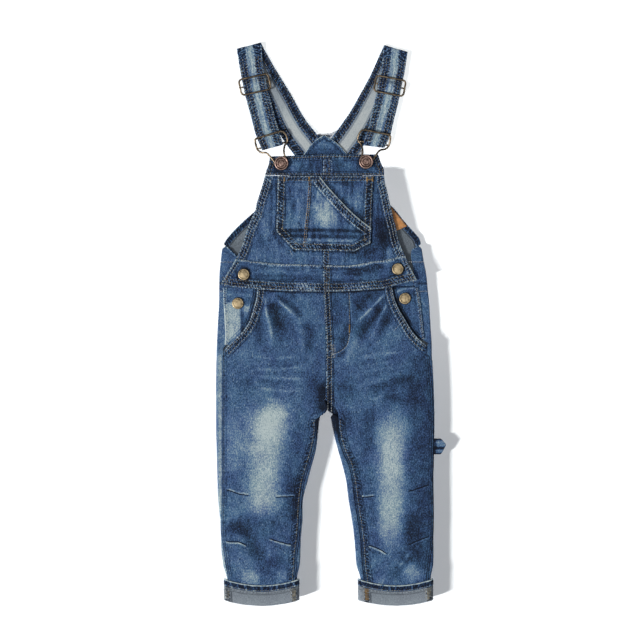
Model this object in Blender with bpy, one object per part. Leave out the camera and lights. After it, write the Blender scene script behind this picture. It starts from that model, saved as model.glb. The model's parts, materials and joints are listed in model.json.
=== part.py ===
"""Child's denim bib overalls, laid flat on a surface with the front up.

Sizes are in millimetres in the garment's own frame: x = 0 is the middle of the back, +x is
the wearer's left, +y runs from the hems to the shoulder straps, and z = 0 is the surface
underneath. Meshes are written in metres, and the finished model is moved so that the middle
of its box stands over the origin.

The layers, from the surface up: back panels, which wrap round the sides to the seams on the
front; pocket facings; bib and front legs; waistband, chest pocket and cuffs; buttons.
"""

import math
from collections import namedtuple

import bmesh
import bpy
import numpy as np

MM = 0.001
GAP = 0.3  # clearance between two pieces at a seam
CLOTH = 1.0  # one layer of denim

FRONT_BASE = 4.9  # underside of the bib and of the front legs
FACING_BASE = 3.5  # underside of the hip pocket facings
HIP_HEIGHT = 3.2  # pressed side fold at the waist and hips, under the button plackets
LEG_HEIGHT = FRONT_BASE + CLOTH  # rolled side fold of the legs
CENTRE_SEAM = -2.4  # centre-front seam of bib, band and waistband
CROTCH = -91.0  # last level where the two back legs still meet
CUFF_LIFT = CLOTH + GAP  # the leg's end lies this far up, inside its cuff

WAISTBAND_BASE = LEG_HEIGHT + GAP
WAISTBAND_THICKNESS = 1.2
BAND_BASE, BAND_THICKNESS = 4.7, 2.2  # bib's folded top band
POCKET_BASE = LEG_HEIGHT + GAP

STRAP_THICKNESS = 1.4
STRAP_WIDTH = 28.0
BACK_STRAP_WIDTH = 33.0
TOP_FOLD = 4.4  # height of the strap's fold at the shoulder
WIRE = 2.0  # diameter of the slider and hook wire

TACK_DIAMETER, SIDE_BUTTON_DIAMETER = 17.0, 14.0

ARC_STEPS, LIP_STEPS, BOTTOM_STEPS = 6, 3, 6  # steps of a back panel's ring
FLAT_END = 12.0  # width over which a ring's fold points spread where it lies flat
BAR_SHARE = 0.97  # a middle bar is this much thinner than its frame, so that they join cleanly

# Legs below the crotch: silhouette and seam on the outer side, seam and silhouette on the
# inner side. The back panel runs from seam to seam round both folds.
LegRow = namedtuple("LegRow", "y outer_edge outer_seam inner_seam inner_edge")
RIGHT_LEG = (
    LegRow(-43.0, -130.4, -121.2, 1.2, 0.0),
    LegRow(-67.0, -130.8, -121.2, 1.2, 0.0),
    LegRow(CROTCH, -130.8, -121.2, 0.0, 0.0),
    LegRow(-101.0, -130.8, -121.2, 3.6, 0.0),
    LegRow(-106.0, -130.8, -121.2, 1.0, -2.5),
    LegRow(-113.0, -130.8, -121.2, -9.4, -6.0),
    LegRow(-127.0, -130.8, -121.2, -11.2, -8.0),
    LegRow(-151.0, -130.0, -121.2, -15.6, -10.8),
    LegRow(-169.0, -129.6, -121.2, -21.0, -15.6),
    LegRow(-187.0, -129.2, -121.2, -26.4, -20.4),
    LegRow(-211.0, -128.2, -121.2, -30.0, -26.4),
    LegRow(-235.0, -126.0, -121.8, -31.2, -27.0),
    LegRow(-259.0, -124.8, -121.2, -33.2, -29.0),
    LegRow(-277.0, -123.8, -118.2, -35.6, -29.6),
    LegRow(-290.0, -122.0, -116.5, -36.0, -30.4),
    LegRow(-301.0, -118.6, -114.5, -37.2, -33.0),
    LegRow(-330.0, -117.0, -113.4, -37.2, -33.6),
)
LEFT_LEG = (
    LegRow(-43.0, 129.0, 123.0, 1.2, 0.0),
    LegRow(-67.0, 130.2, 125.4, 1.2, 0.0),
    LegRow(CROTCH, 131.0, 127.2, 0.0, 0.0),
    LegRow(-101.0, 131.2, 127.4, 13.0, 2.0),
    LegRow(-106.0, 131.4, 127.6, 15.6, 4.6),
    LegRow(-113.0, 131.4, 127.6, 16.2, 6.8),
    LegRow(-127.0, 131.4, 127.8, 17.0, 9.6),
    LegRow(-151.0, 131.0, 128.0, 22.8, 15.6),
    LegRow(-169.0, 130.6, 128.0, 30.8, 20.8),
    LegRow(-187.0, 130.2, 128.2, 34.8, 25.2),
    LegRow(-211.0, 130.6, 128.4, 37.8, 28.3),
    LegRow(-235.0, 130.8, 128.4, 41.6, 32.4),
    LegRow(-259.0, 130.2, 127.6, 44.9, 35.4),
    LegRow(-277.0, 130.2, 124.8, 46.2, 36.8),
    LegRow(-290.0, 129.8, 123.2, 47.0, 38.0),
    LegRow(-301.0, 127.4, 122.0, 48.6, 41.6),
    LegRow(-330.0, 126.0, 121.6, 50.4, 43.2),
)

# Seat and hips: silhouette of the back panel, end of its underlap below the placket, edge of
# the placket (the facing's outer edge) and height of the side fold.
HipRow = namedtuple("HipRow", "y edge underlap placket height")
RIGHT_HIP = (
    HipRow(39.3, -127.2, -114.0, -122.4, HIP_HEIGHT),
    HipRow(28.8, -127.2, -114.0, -122.0, HIP_HEIGHT),
    HipRow(4.8, -128.4, -113.5, -120.6, HIP_HEIGHT),
    HipRow(-19.2, -129.6, -116.0, -120.0, HIP_HEIGHT),
    HipRow(-25.0, -129.8, -118.0, -120.6, HIP_HEIGHT),
    HipRow(-29.0, -130.0, -122.0, -121.0, 4.3),
    HipRow(-33.0, -130.2, -121.6, -121.2, LEG_HEIGHT),
)
LEFT_HIP = (
    HipRow(39.3, 123.6, 104.0, 111.6, HIP_HEIGHT),
    HipRow(28.8, 124.8, 106.0, 114.0, HIP_HEIGHT),
    HipRow(4.8, 126.4, 108.0, 116.8, HIP_HEIGHT),
    HipRow(-12.0, 127.4, 111.0, 118.6, HIP_HEIGHT),
    HipRow(-18.0, 127.8, 114.0, 119.3, HIP_HEIGHT),
    HipRow(-22.0, 128.0, 123.2, 121.0, 4.3),
    HipRow(-26.0, 128.2, 122.9, 122.4, LEG_HEIGHT),
)

# Slanted hip pocket mouths, from the waistband down to the side seam.
RIGHT_MOUTH = (
    (-81.0, 46.0), (-82.8, 28.8), (-86.4, 16.8), (-90.0, 4.8), (-97.2, -7.2),
    (-106.8, -16.8), (-115.2, -25.2), (-120.9, -31.2),
)
LEFT_MOUTH = (
    (80.4, 46.0), (84.0, 28.8), (90.0, 15.6), (97.2, 3.6), (104.4, -8.4),
    (114.0, -19.2), (122.1, -26.0),
)

# Back above the waist: edges of the panel, and the ends of the parts that wrap round the
# sides to the front. A row with no wrap gives None.
BibRow = namedtuple("BibRow", "y left_edge left_wrap right_edge right_wrap")
BACK_BIB = (
    BibRow(227.0, -3.4, None, 1.0, None),
    BibRow(220.0, -12.0, None, 11.4, None),
    BibRow(205.2, -24.0, None, 25.2, None),
    BibRow(179.0, -42.0, None, 44.4, None),
    BibRow(155.0, -63.6, None, 66.0, None),
    BibRow(145.0, -73.2, None, 77.0, None),
    BibRow(135.6, -84.0, None, 85.8, None),
    BibRow(126.0, -95.0, None, 93.0, None),
    BibRow(110.4, -111.0, None, 106.8, None),
    BibRow(103.2, -117.2, None, 113.0, None),
    BibRow(97.0, -121.2, None, 115.0, None),
    BibRow(88.8, -123.6, -112.0, 116.4, 104.0),
    BibRow(79.2, -124.8, -104.0, 118.0, 103.5),
    BibRow(74.7, -125.3, -104.0, 118.8, 104.5),
)
BACK_WAISTBAND = (
    BibRow(74.4, -125.3, -104.0, 118.8, 104.5),
    BibRow(58.8, -126.8, -106.0, 121.8, 107.0),
    BibRow(39.6, -127.2, -112.0, 123.6, 104.0),
)

# Outer edges of the bib and of its top band.
RIGHT_BIB_EDGE = (
    (-114.0, 66.0), (-108.0, 76.8), (-102.0, 87.6), (-98.4, 97.2), (-94.8, 109.2),
    (-90.0, 122.4), (-84.0, 135.6), (-81.6, 146.4), (-78.0, 157.2), (-72.0, 177.9),
)
LEFT_BIB_EDGE = (
    (101.5, 66.0), (97.5, 77.0), (94.8, 84.0), (91.2, 92.4), (87.6, 103.2), (85.2, 115.2),
    (81.6, 128.4), (79.2, 139.2), (76.8, 150.0), (74.4, 160.8), (72.0, 169.2), (71.0, 177.9),
)
RIGHT_BAND_EDGE = ((-72.0, 178.3), (-70.8, 182.4), (-67.2, 193.2), (-66.0, 201.0))
LEFT_BAND_EDGE = ((70.8, 178.3), (70.8, 184.8), (67.2, 193.2), (63.8, 203.4))

# Front waistband: its end at the placket, and its upper and lower edges from the side to the
# centre seam.
RIGHT_WAIST_END = ((-124.8, 48.0), (-120.0, 56.4), (-114.0, 66.0), (-106.8, 78.0))
RIGHT_WAIST_TOP = ((-106.8, 78.0), (-78.0, 74.4), (-54.0, 72.0), (-30.0, 71.4), (-2.4, 70.6))
RIGHT_WAIST_BOTTOM = (
    (-124.8, 48.0), (-114.0, 45.0), (-96.0, 43.2), (-81.6, 42.0), (-42.0, 39.6), (-2.4, 39.0),
)
LEFT_WAIST_END = ((110.4, 52.4), (104.4, 63.6), (99.6, 73.2), (96.0, 82.2))
LEFT_WAIST_TOP = ((-2.4, 70.6), (36.0, 70.8), (54.0, 74.4), (72.0, 76.8), (96.0, 82.2))
LEFT_WAIST_BOTTOM = (
    (-2.4, 39.0), (30.0, 39.6), (54.0, 41.4), (72.0, 43.2), (90.0, 48.0), (110.4, 52.4),
)

# Chest pocket: back layer with its cut-off lower corners, and the front layer that leaves the
# slanted mouth open.
POCKET_LEFT = ((-37.2, 88.8), (-58.2, 111.0), (-56.4, 177.6))
POCKET_RIGHT = ((34.8, 87.0), (54.6, 97.2), (56.4, 148.8), (58.2, 177.6))
POCKET_BOTTOM = ((-37.2, 88.8), (34.8, 87.0))
POCKET_TOP = ((-56.4, 177.6), (58.2, 177.6))
POCKET_FRONT_RIGHT = ((34.8, 87.0), (54.6, 97.2), (55.5, 115.2), (-7.0, 177.6))
POCKET_FRONT_TOP = ((-56.4, 177.6), (-7.0, 177.6))

# Folds of the front legs: a ridge (height > 0) or trough (height < 0) along a straight crest.
Fold = namedtuple("Fold", "x0 y0 x1 y1 height width")
RIGHT_FOLDS = (
    Fold(-64.0, 26.0, -36.0, 10.0, 1.6, 4.5),
    Fold(-70.0, 22.0, -60.0, -18.0, 1.7, 4.5),
    Fold(-62.0, 14.0, -50.0, -10.0, -1.2, 4.5),
    Fold(-118.0, -246.0, -90.0, -262.0, -1.6, 7.0),
    Fold(-90.0, -262.0, -76.0, -282.0, -1.6, 6.0),
    Fold(-110.0, -41.0, -60.0, -40.0, 0.7, 5.0),
    Fold(-105.0, -54.0, -50.0, -52.0, 0.7, 4.0),
)
LEFT_FOLDS = (
    Fold(64.0, 30.0, 38.0, 4.0, 1.6, 4.5),
    Fold(74.0, 18.0, 58.0, -14.0, 1.7, 4.5),
    Fold(62.0, 12.0, 50.0, -10.0, -1.2, 4.5),
    Fold(94.0, -302.0, 112.0, -266.0, -1.4, 7.0),
    Fold(42.0, -38.0, 90.0, -54.0, 0.7, 5.0),
    Fold(50.0, -60.0, 84.0, -78.0, 0.7, 5.0),
)

# Cuffs: sides, levels of the fold and of the top edge at the sides, and how far their middles
# sag towards the hem.
Cuff = namedtuple("Cuff", "left right bottom top bottom_sag top_sag")
RIGHT_CUFF = Cuff(-121.2, -30.8, -331.0, -305.5, 6.8, 7.8)
LEFT_CUFF = Cuff(39.6, 129.8, -331.0, -305.5, 6.8, 7.8)
CUFF_HEIGHT = LEG_HEIGHT + CUFF_LIFT + GAP
HEM_STRIP = 7.0  # width of the cuff's folded hem strip
HEM_THICKNESS = 1.2

# Straps: middle line from the back peak up to the shoulder fold, then down the front.
RIGHT_BACK_RUN = ((-14.0, 203.5), (-22.5, 216.0), (-32.1, 231.4), (-54.8, 270.5), (-72.5, 300.0))
RIGHT_FRONT_RUN = (
    (-88.6, 310.0), (-86.2, 297.0), (-82.2, 278.0), (-78.0, 262.0), (-75.0, 250.8),
    (-71.1, 236.0), (-63.8, 214.2),
)
RIGHT_TOP_EDGE = ((-106.2, 330.6), (-76.8, 338.4))
RIGHT_HOOK_EDGE = ((-75.6, 208.2), (-50.4, 214.8))
LEFT_BACK_RUN = ((15.0, 203.5), (26.0, 218.5), (37.8, 239.2), (55.0, 268.5), (67.4, 292.0))
LEFT_FRONT_RUN = (
    (82.4, 308.0), (79.8, 295.0), (75.9, 276.0), (72.0, 259.0), (68.6, 246.0),
    (65.4, 232.0), (59.2, 216.0),
)
LEFT_TOP_EDGE = ((70.8, 335.4), (99.6, 327.0))
LEFT_HOOK_EDGE = ((46.8, 214.2), (70.4, 211.2))

# Height of the front run's underside along the strap: it dips under the slider's outer bars
# and rises over its middle bar, then rises again to pass over the bar of the hook.
Station = namedtuple("Station", "distance base")
AT_SLIDER = (
    Station(-11.6, 3.4), Station(-7.9, 3.4), Station(-1.7, 7.4),
    Station(1.7, 7.4), Station(7.9, 3.4), Station(11.6, 3.4),
)
BEFORE_HOOK = (Station(-26.0, 3.4), Station(-14.0, 4.4), Station(-5.0, 5.6), Station(0.0, 5.7))
AFTER_FOLD = Station(0.0, 3.0)
RETURN_BASE = 1.7

Slider = namedtuple("Slider", "x y angle length height")
RIGHT_SLIDER = Slider(-84.2, 287.3, 12.5, 36.0, 19.0)
LEFT_SLIDER = Slider(77.8, 285.6, -10.5, 36.0, 19.0)
SLIDER_LEVEL = 3.4 + STRAP_THICKNESS + GAP + WIRE / 2

# Wire hook, outwards and up from the middle of its tack button, with its height.
HookPoint = namedtuple("HookPoint", "out up z")
HOOK_PATH = (
    HookPoint(30.0, 29.6, 8.3), HookPoint(15.5, 34.0, 8.5), HookPoint(0.8, 38.2, 8.3),
    HookPoint(-4.6, 35.0, 7.4), HookPoint(-7.2, 29.0, 5.8), HookPoint(-6.4, 25.2, 4.7),
    HookPoint(-3.6, 20.6, 5.4), HookPoint(-3.0, 13.0, 8.3), HookPoint(-4.9, 6.0, 8.3),
    HookPoint(-6.0, -1.0, 8.3), HookPoint(-2.0, -5.6, 8.3), HookPoint(4.2, -4.4, 8.3),
    HookPoint(9.0, 2.4, 8.3), HookPoint(14.4, 9.2, 8.3), HookPoint(18.6, 12.6, 7.4),
    HookPoint(24.0, 13.2, 5.0), HookPoint(28.4, 16.2, 4.4), HookPoint(30.4, 21.0, 5.4),
    HookPoint(31.4, 26.0, 7.4),
)
HOOK_BAR = (HookPoint(29.0, 17.6, 4.4), HookPoint(-6.6, 25.8, 4.4))
RIGHT_TACK, LEFT_TACK = (-52.2, 192.6), (49.2, 194.4)
LEFT_HOOK_TURN = 5.0  # degrees by which the left hook hangs straighter

SIDE_BUTTONS = {
    "side_button_upper_right": (-97.4, 59.4, WAISTBAND_BASE + WAISTBAND_THICKNESS),
    "side_button_lower_right": (-104.6, 24.8, FACING_BASE + CLOTH),
    "side_button_upper_left": (87.2, 66.0, WAISTBAND_BASE + WAISTBAND_THICKNESS),
    "side_button_lower_left": (96.0, 30.6, FACING_BASE + CLOTH),
}

PATCH_CORNER, PATCH_ALONG, PATCH_ACROSS = (98.6, 117.6), (-22.0, 26.4), (-20.0, -9.0)
PATCH_THICKNESS = 1.4
PEAK_FACING = (BibRow(226.2, -3.2, None, 0.8, None), BibRow(219.6, -12.4, None, 11.6, None),
               BibRow(205.2, -24.6, None, 25.6, None), BibRow(190.0, -34.0, None, 35.0, None))

LOOP_TOP, LOOP_BOTTOM, LOOP_REACH = -137.6, -156.4, 13.8  # hammer loop on the left outseam

# Finishes: colour, roughness, metallic.
DENIM = ("denim", (0.055, 0.12, 0.27), 0.85, 0.0)
DENIM_REVERSE = ("denim_reverse", (0.30, 0.34, 0.38), 0.9, 0.0)
LEATHER = ("leather", (0.36, 0.17, 0.07), 0.6, 0.0)
BRASS = ("aged_brass", (0.34, 0.25, 0.13), 0.35, 1.0)
COPPER = ("aged_copper", (0.40, 0.22, 0.15), 0.4, 1.0)


def clear_scene():
    """Remove whatever objects the scene starts with."""
    for obj in list(bpy.data.objects):
        bpy.data.objects.remove(obj, do_unlink=True)


def material(finish):
    """Return the material of a finish, made the first time it is asked for."""
    name, colour, roughness, metallic = finish
    found = bpy.data.materials.get(name)
    if found is None:
        found = bpy.data.materials.new(name)
        found.use_nodes = True
        shader = found.node_tree.nodes["Principled BSDF"]
        shader.inputs["Base Color"].default_value = (*colour, 1.0)
        shader.inputs["Roughness"].default_value = roughness
        shader.inputs["Metallic"].default_value = metallic
    return found


def solid(name, points, faces, finish, smooth=False):
    """Make an object from points in millimetres, with its faces turned outwards."""
    mesh = bpy.data.meshes.new(name)
    mesh.from_pydata((np.asarray(points, float) * MM).tolist(), [], faces)
    work = bmesh.new()
    work.from_mesh(mesh)
    bmesh.ops.recalc_face_normals(work, faces=work.faces)
    if work.calc_volume(signed=True) < 0:
        bmesh.ops.reverse_faces(work, faces=work.faces)
    bmesh.ops.triangulate(work, faces=work.faces)
    work.to_mesh(mesh)
    work.free()
    mesh.materials.append(material(finish))
    if smooth:
        mesh.shade_smooth()
        mesh.set_sharp_from_angle(angle=math.radians(50))
    obj = bpy.data.objects.new(name, mesh)
    bpy.context.scene.collection.objects.link(obj)
    return obj


def loft(name, rings, finish, closed=False, caps=None, smooth=False):
    """Skin a stack of equal rings. The caps are faces of one ring, given by their indices."""
    rings = np.asarray(rings, float)
    count, size = rings.shape[:2]
    faces = []
    for row in range(count if closed else count - 1):
        here, there = row * size, ((row + 1) % count) * size
        for i in range(size):
            j = (i + 1) % size
            faces.append((here + i, here + j, there + j, there + i))
    if not closed:
        last = (count - 1) * size
        for face in caps or [tuple(range(size))]:
            faces.append(tuple(reversed(face)))
            faces.append(tuple(last + i for i in face))
    return solid(name, rings.reshape(-1, 3), faces, finish, smooth)


def strip_caps(half):
    """Faces that close a ring made of an outer line and the inner line walked back."""
    size = 2 * half
    return [(i, i + 1, size - 2 - i, size - 1 - i) for i in range(half - 1)]


def along(points, fractions, by_height=False):
    """Points at these fractions of a polyline's length, or of its height."""
    points = np.asarray(points, float)
    if by_height:
        reach = np.abs(points[:, 1] - points[0, 1])
    else:
        steps = np.linalg.norm(np.diff(points, axis=0), axis=1)
        reach = np.concatenate([[0.0], np.cumsum(steps)])
    at = np.asarray(fractions) * reach[-1]
    return np.stack([np.interp(at, reach, points[:, k]) for k in range(points.shape[1])], -1)


def patch(left, right, bottom, top, columns, rows, by_height=False):
    """Grid between four edges: each point blends the two pairs of edges (a Coons patch).

    rows is a number of equal steps, or the fractions of the height at which rows lie.
    """
    u = np.linspace(0, 1, columns + 1)
    v = np.linspace(0, 1, rows + 1) if isinstance(rows, int) else np.asarray(rows)
    left, right = along(left, v, by_height), along(right, v, by_height)
    bottom, top = along(bottom, u), along(top, u)
    u, v = u[None, :, None], v[:, None, None]
    across = (1 - u) * left[:, None] + u * right[:, None]
    upward = (1 - v) * bottom[None] + v * top[None]
    low = (1 - u) * bottom[0] + u * bottom[-1]
    high = (1 - u) * top[0] + u * top[-1]
    return across + upward - ((1 - v) * low + v * high)


def sheet(name, plan, base, thickness, finish):
    """Closed cloth panel: a plan grid at a base height, which may vary, with a thickness."""
    rows, columns = plan.shape[:2]
    base = np.broadcast_to(base, (rows, columns))
    lower = np.dstack([plan, base])
    upper = np.dstack([plan, base + thickness])
    points = np.concatenate([lower.reshape(-1, 3), upper.reshape(-1, 3)])
    index = np.arange(rows * columns).reshape(rows, columns)
    faces = []
    for shift, turn in ((0, -1), (rows * columns, 1)):
        for j in range(rows - 1):
            for i in range(columns - 1):
                quad = (index[j, i], index[j, i + 1], index[j + 1, i + 1], index[j + 1, i])
                faces.append(tuple(int(k) + shift for k in quad[::turn]))
    border = [*index[0, :-1], *index[:-1, -1], *index[-1, :0:-1], *index[:0:-1, 0]]
    for a, b in zip(border, border[1:] + border[:1]):
        a, b, top = int(a), int(b), rows * columns
        faces.append((a, b, b + top, a + top))
    return solid(name, points, faces, finish)


def fold_end(edge, lip, side, height, base, thickness, arc_steps=ARC_STEPS, lip_steps=LIP_STEPS):
    """Outer and inner line of a side fold, from the flat underside to the lip's end.

    side is -1 at the left and +1 at the right. Without a lip the same points lie flat, so
    that a panel can start to wrap between two of its rows.
    """
    if lip is None:
        x = edge - side * FLAT_END * np.linspace(1, 0, arc_steps + lip_steps + 1)
        outer = np.stack([x, np.full_like(x, base)], -1)
        return outer, outer + (0, thickness)
    radius = height / 2
    turn = np.linspace(-math.pi / 2, math.pi / 2, arc_steps + 1)
    middle = np.array([edge - side * radius, base + radius])
    ray = np.stack([side * np.cos(turn), np.sin(turn)], -1)
    outer, inner = middle + radius * ray, middle + (radius - thickness) * ray
    rest = np.linspace(0, 1, lip_steps + 1)[1:, None]
    reach = np.array([lip - middle[0], 0.0]) * rest
    return np.vstack([outer, outer[-1] + reach]), np.vstack([inner, inner[-1] + reach])


def wrap_ring(y, left, right, bottom_steps=BOTTOM_STEPS, thickness=CLOTH):
    """Ring of a back panel at one level. left and right are (edge, lip, height, base)."""
    sides = []
    for side, (edge, lip, height, base) in ((-1, left), (1, right)):
        sides.append(fold_end(edge, lip, side, height, base, thickness))
    (left_outer, left_inner), (right_outer, right_inner) = sides
    steps = np.linspace(0, 1, bottom_steps + 1)[1:-1, None]
    outer = np.vstack([left_outer[::-1], left_outer[0] + (right_outer[0] - left_outer[0]) * steps,
                       right_outer])
    inner = np.vstack([left_inner[::-1], left_inner[0] + (right_inner[0] - left_inner[0]) * steps,
                       right_inner])
    line = np.vstack([outer, inner[::-1]])
    return np.stack([line[:, 0], np.full(len(line), y), line[:, 1]], -1)


def wrapped_panel(name, rings, finish):
    """Back panel skinned through its rings."""
    return loft(name, rings, finish, caps=strip_caps(len(rings[0]) // 2))


def seam_end(edge, seam, height):
    """End of a lip at its seam, far enough from the edge for the whole fold."""
    side = 1 if edge > seam else -1
    return edge - side * max(abs(edge - seam), height / 2 + 0.1)


def cuff_lift(y):
    """Height by which a leg is raised at this level, to lie inside its cuff."""
    return np.interp(-y, (290.0, 301.0), (0.0, CUFF_LIFT))


def back_leg(name, hips, legs, side):
    """Back panel of one leg: seat above the crotch, and folded round both sides below it."""
    rings = []
    inner_flat = (side * GAP / 2, None, LEG_HEIGHT, 0.0)
    for row in hips:
        outer = (row.edge, row.underlap, row.height, 0.0)
        pair = (outer, inner_flat) if side < 0 else (inner_flat, outer)
        rings.append(wrap_ring(row.y, *pair))
    for row in legs:
        base = cuff_lift(row.y)
        outer = (row.outer_edge, seam_end(row.outer_edge, row.outer_seam, LEG_HEIGHT),
                 LEG_HEIGHT, base)
        if row.y < CROTCH - 12:
            lip = seam_end(row.inner_edge, row.inner_seam, LEG_HEIGHT)
            inner = (row.inner_edge, lip, LEG_HEIGHT, base)
        elif row.y < CROTCH - 1:
            inner = (row.inner_edge, None, LEG_HEIGHT, base)
        else:
            inner = inner_flat
        pair = (outer, inner) if side < 0 else (inner, outer)
        rings.append(wrap_ring(row.y, *pair))
    return wrapped_panel(name, rings, DENIM)


def fold_relief(folds, x, y):
    """Height of the folds at each point: a bell across the crest, fading at its ends."""
    relief = np.zeros_like(x)
    for fold in folds:
        run = np.array([fold.x1 - fold.x0, fold.y1 - fold.y0])
        length = np.linalg.norm(run)
        run = run / length
        ahead = (x - fold.x0) * run[0] + (y - fold.y0) * run[1]
        aside = (x - fold.x0) * run[1] - (y - fold.y0) * run[0]
        beyond = np.maximum(0.0, np.maximum(-ahead, ahead - length))
        relief += fold.height * np.exp(-(aside**2 + beyond**2) / fold.width**2)
    return relief


def front_edges(mouth, legs, side):
    """Outer and inner edge of a front leg, from the hem up to the waist."""
    outer, inner = [], []
    for row in reversed(legs):
        base_seam = seam_end(row.outer_edge, row.outer_seam, LEG_HEIGHT)
        outer.append((base_seam - side * GAP, row.y))
        if row.y < CROTCH - 12:
            lip = seam_end(row.inner_edge, row.inner_seam, LEG_HEIGHT)
            inner.append((lip + side * GAP, row.y))
        else:
            inner.append((row.inner_seam + side * GAP / 2, row.y))
    outer += list(reversed(mouth))
    inner += [(1.2 + side * GAP / 2, -19.2), (CENTRE_SEAM + side * GAP / 2, 46.0)]
    return outer, inner


def shared_levels(*edges, step=9.0):
    """Fractions of the height at every corner of these edges, with long spans divided."""
    corners = sorted({y for edge in edges for _, y in edge})
    levels = [corners[0]]
    for low, high in zip(corners, corners[1:]):
        parts = math.ceil((high - low) / step)
        levels += [low + (high - low) * k / parts for k in range(1, parts + 1)]
    return (np.array(levels) - corners[0]) / (corners[-1] - corners[0])


def front_leg(name, mouth, legs, folds, side):
    """Front panel of one leg, with its pleats and largest folds."""
    outer, inner = front_edges(mouth, legs, side)
    left, right = (outer, inner) if side < 0 else (inner, outer)
    levels = shared_levels(left, right)
    plan = patch(left, right, (left[0], right[0]), (left[-1], right[-1]), 12, levels, True)
    x, y = plan[..., 0], plan[..., 1]
    u = np.linspace(0, 1, x.shape[1])[None]
    inside = np.clip(np.minimum(u, 1 - u) * 6, 0, 1) * np.clip((33.0 - y) / 12, 0, 1)
    base = FRONT_BASE + cuff_lift(y) + fold_relief(folds, x, y) * inside
    return sheet(name, plan, base, CLOTH, DENIM)


def hip_facing(name, hips, mouth, side):
    """Pocket facing behind a slanted mouth, with the placket edge that carries a button."""
    rows = [row for row in hips if row.height == HIP_HEIGHT]
    placket = [(row.placket, row.y) for row in reversed(rows)]
    placket[-1] = (placket[-1][0], 44.0)
    hidden = 9.0  # the facing runs on this far behind the front
    levels = np.array([y for _, y in placket])
    mouth_x = np.interp(levels, [y for _, y in mouth][::-1], [x for x, _ in mouth][::-1])
    inner = [(x - side * hidden, y) for x, y in zip(mouth_x, levels)]
    left, right = (placket, inner) if side < 0 else (inner, placket)
    plan = patch(left, right, (left[0], right[0]), (left[-1], right[-1]), 5, 9, by_height=True)
    return sheet(name, plan, FACING_BASE, CLOTH, DENIM)


def back_above_waist():
    """Back bib up to its peak, back waistband, and the facing of the peak."""
    for name, rows in (("back_bib", BACK_BIB), ("back_waistband", BACK_WAISTBAND)):
        rings = []
        for row in rows:
            left = (row.left_edge, row.left_wrap, HIP_HEIGHT, 0.0)
            right = (row.right_edge, row.right_wrap, HIP_HEIGHT, 0.0)
            rings.append(narrow_ring(row) if row.left_wrap is None else
                         wrap_ring(row.y, left, right))
        wrapped_panel(name, rings, DENIM)
    levels = [(row.left_edge, row.y) for row in reversed(PEAK_FACING)]
    others = [(row.right_edge, row.y) for row in reversed(PEAK_FACING)]
    plan = patch(levels, others, (levels[0], others[0]), (levels[-1], others[-1]), 4, 8, True)
    sheet("back_peak_facing", plan, 3.0, CLOTH, DENIM)


def narrow_ring(row):
    """Flat ring with as many points as a wrapped one, evenly spaced."""
    half = 2 * (ARC_STEPS + LIP_STEPS + 1) + BOTTOM_STEPS - 1
    x = np.linspace(row.left_edge, row.right_edge, half)
    flat = np.full(half, row.y)
    outer = np.stack([x, flat, np.zeros(half)], -1)
    return np.vstack([outer, (outer + (0, 0, CLOTH))[::-1]])


def bib():
    """Two bib panels and the two halves of the folded band along their top."""
    seam = CENTRE_SEAM
    right_seam = ((seam - GAP / 2, 66.0), (seam - GAP / 2, 177.9))
    left_seam = ((seam + GAP / 2, 66.0), (seam + GAP / 2, 177.9))
    for name, left, right in (("bib_right", RIGHT_BIB_EDGE, right_seam),
                              ("bib_left", left_seam, LEFT_BIB_EDGE)):
        plan = patch(left, right, (left[0], right[0]), (left[-1], right[-1]), 6, 12, True)
        sheet(name, plan, FRONT_BASE, CLOTH, DENIM)
    right_seam = ((seam - GAP / 2, 178.3), (seam - GAP / 2, 203.4))
    left_seam = ((seam + GAP / 2, 178.3), (seam + GAP / 2, 203.4))
    for name, left, right in (("bib_band_right", RIGHT_BAND_EDGE, right_seam),
                              ("bib_band_left", left_seam, LEFT_BAND_EDGE)):
        plan = patch(left, right, (left[0], right[0]), (left[-1], right[-1]), 6, 4)
        sheet(name, plan, BAND_BASE, BAND_THICKNESS, DENIM)


def front_waistband():
    """Both halves of the front waistband, from the button placket to the centre seam."""
    bottom, top = np.array(RIGHT_WAIST_BOTTOM), np.array(RIGHT_WAIST_TOP)
    bottom[-1, 0] -= GAP / 2
    top[-1, 0] -= GAP / 2
    plan = patch(RIGHT_WAIST_END, (bottom[-1], top[-1]), bottom, top, 12, 4)
    sheet("waistband_right", plan, WAISTBAND_BASE, WAISTBAND_THICKNESS, DENIM)
    bottom, top = np.array(LEFT_WAIST_BOTTOM), np.array(LEFT_WAIST_TOP)
    bottom[0, 0] += GAP / 2
    top[0, 0] += GAP / 2
    plan = patch((bottom[0], top[0]), LEFT_WAIST_END, bottom, top, 12, 4)
    sheet("waistband_left", plan, WAISTBAND_BASE, WAISTBAND_THICKNESS, DENIM)


def chest_pocket():
    """Back layer of the chest pocket, and the front layer with its slanted mouth."""
    plan = patch(POCKET_LEFT, POCKET_RIGHT, POCKET_BOTTOM, POCKET_TOP, 8, 9)
    sheet("chest_pocket_back", plan, POCKET_BASE, CLOTH, DENIM)
    plan = patch(POCKET_LEFT, POCKET_FRONT_RIGHT, POCKET_BOTTOM, POCKET_FRONT_TOP, 8, 9)
    sheet("chest_pocket_front", plan, POCKET_BASE + CLOTH + GAP, CLOTH, DENIM)


def stadium(left, right, low, high, steps=6):
    """Closed outline of a flattened tube: two half circles and two flats."""
    radius = (high - low) / 2
    turn = np.linspace(-math.pi / 2, math.pi / 2, steps + 1)
    centre = (low + high) / 2
    flats = np.linspace(0, 1, 9)[1:-1]
    a, b = left + radius, right - radius
    under = np.stack([a + (b - a) * flats, np.full(7, low)], -1)
    over = np.stack([b + (a - b) * flats, np.full(7, high)], -1)
    east = np.stack([b + radius * np.cos(turn), centre + radius * np.sin(turn)], -1)
    west = np.stack([a - radius * np.cos(turn), centre - radius * np.sin(turn)], -1)
    return np.vstack([under, east, over, west])


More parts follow.
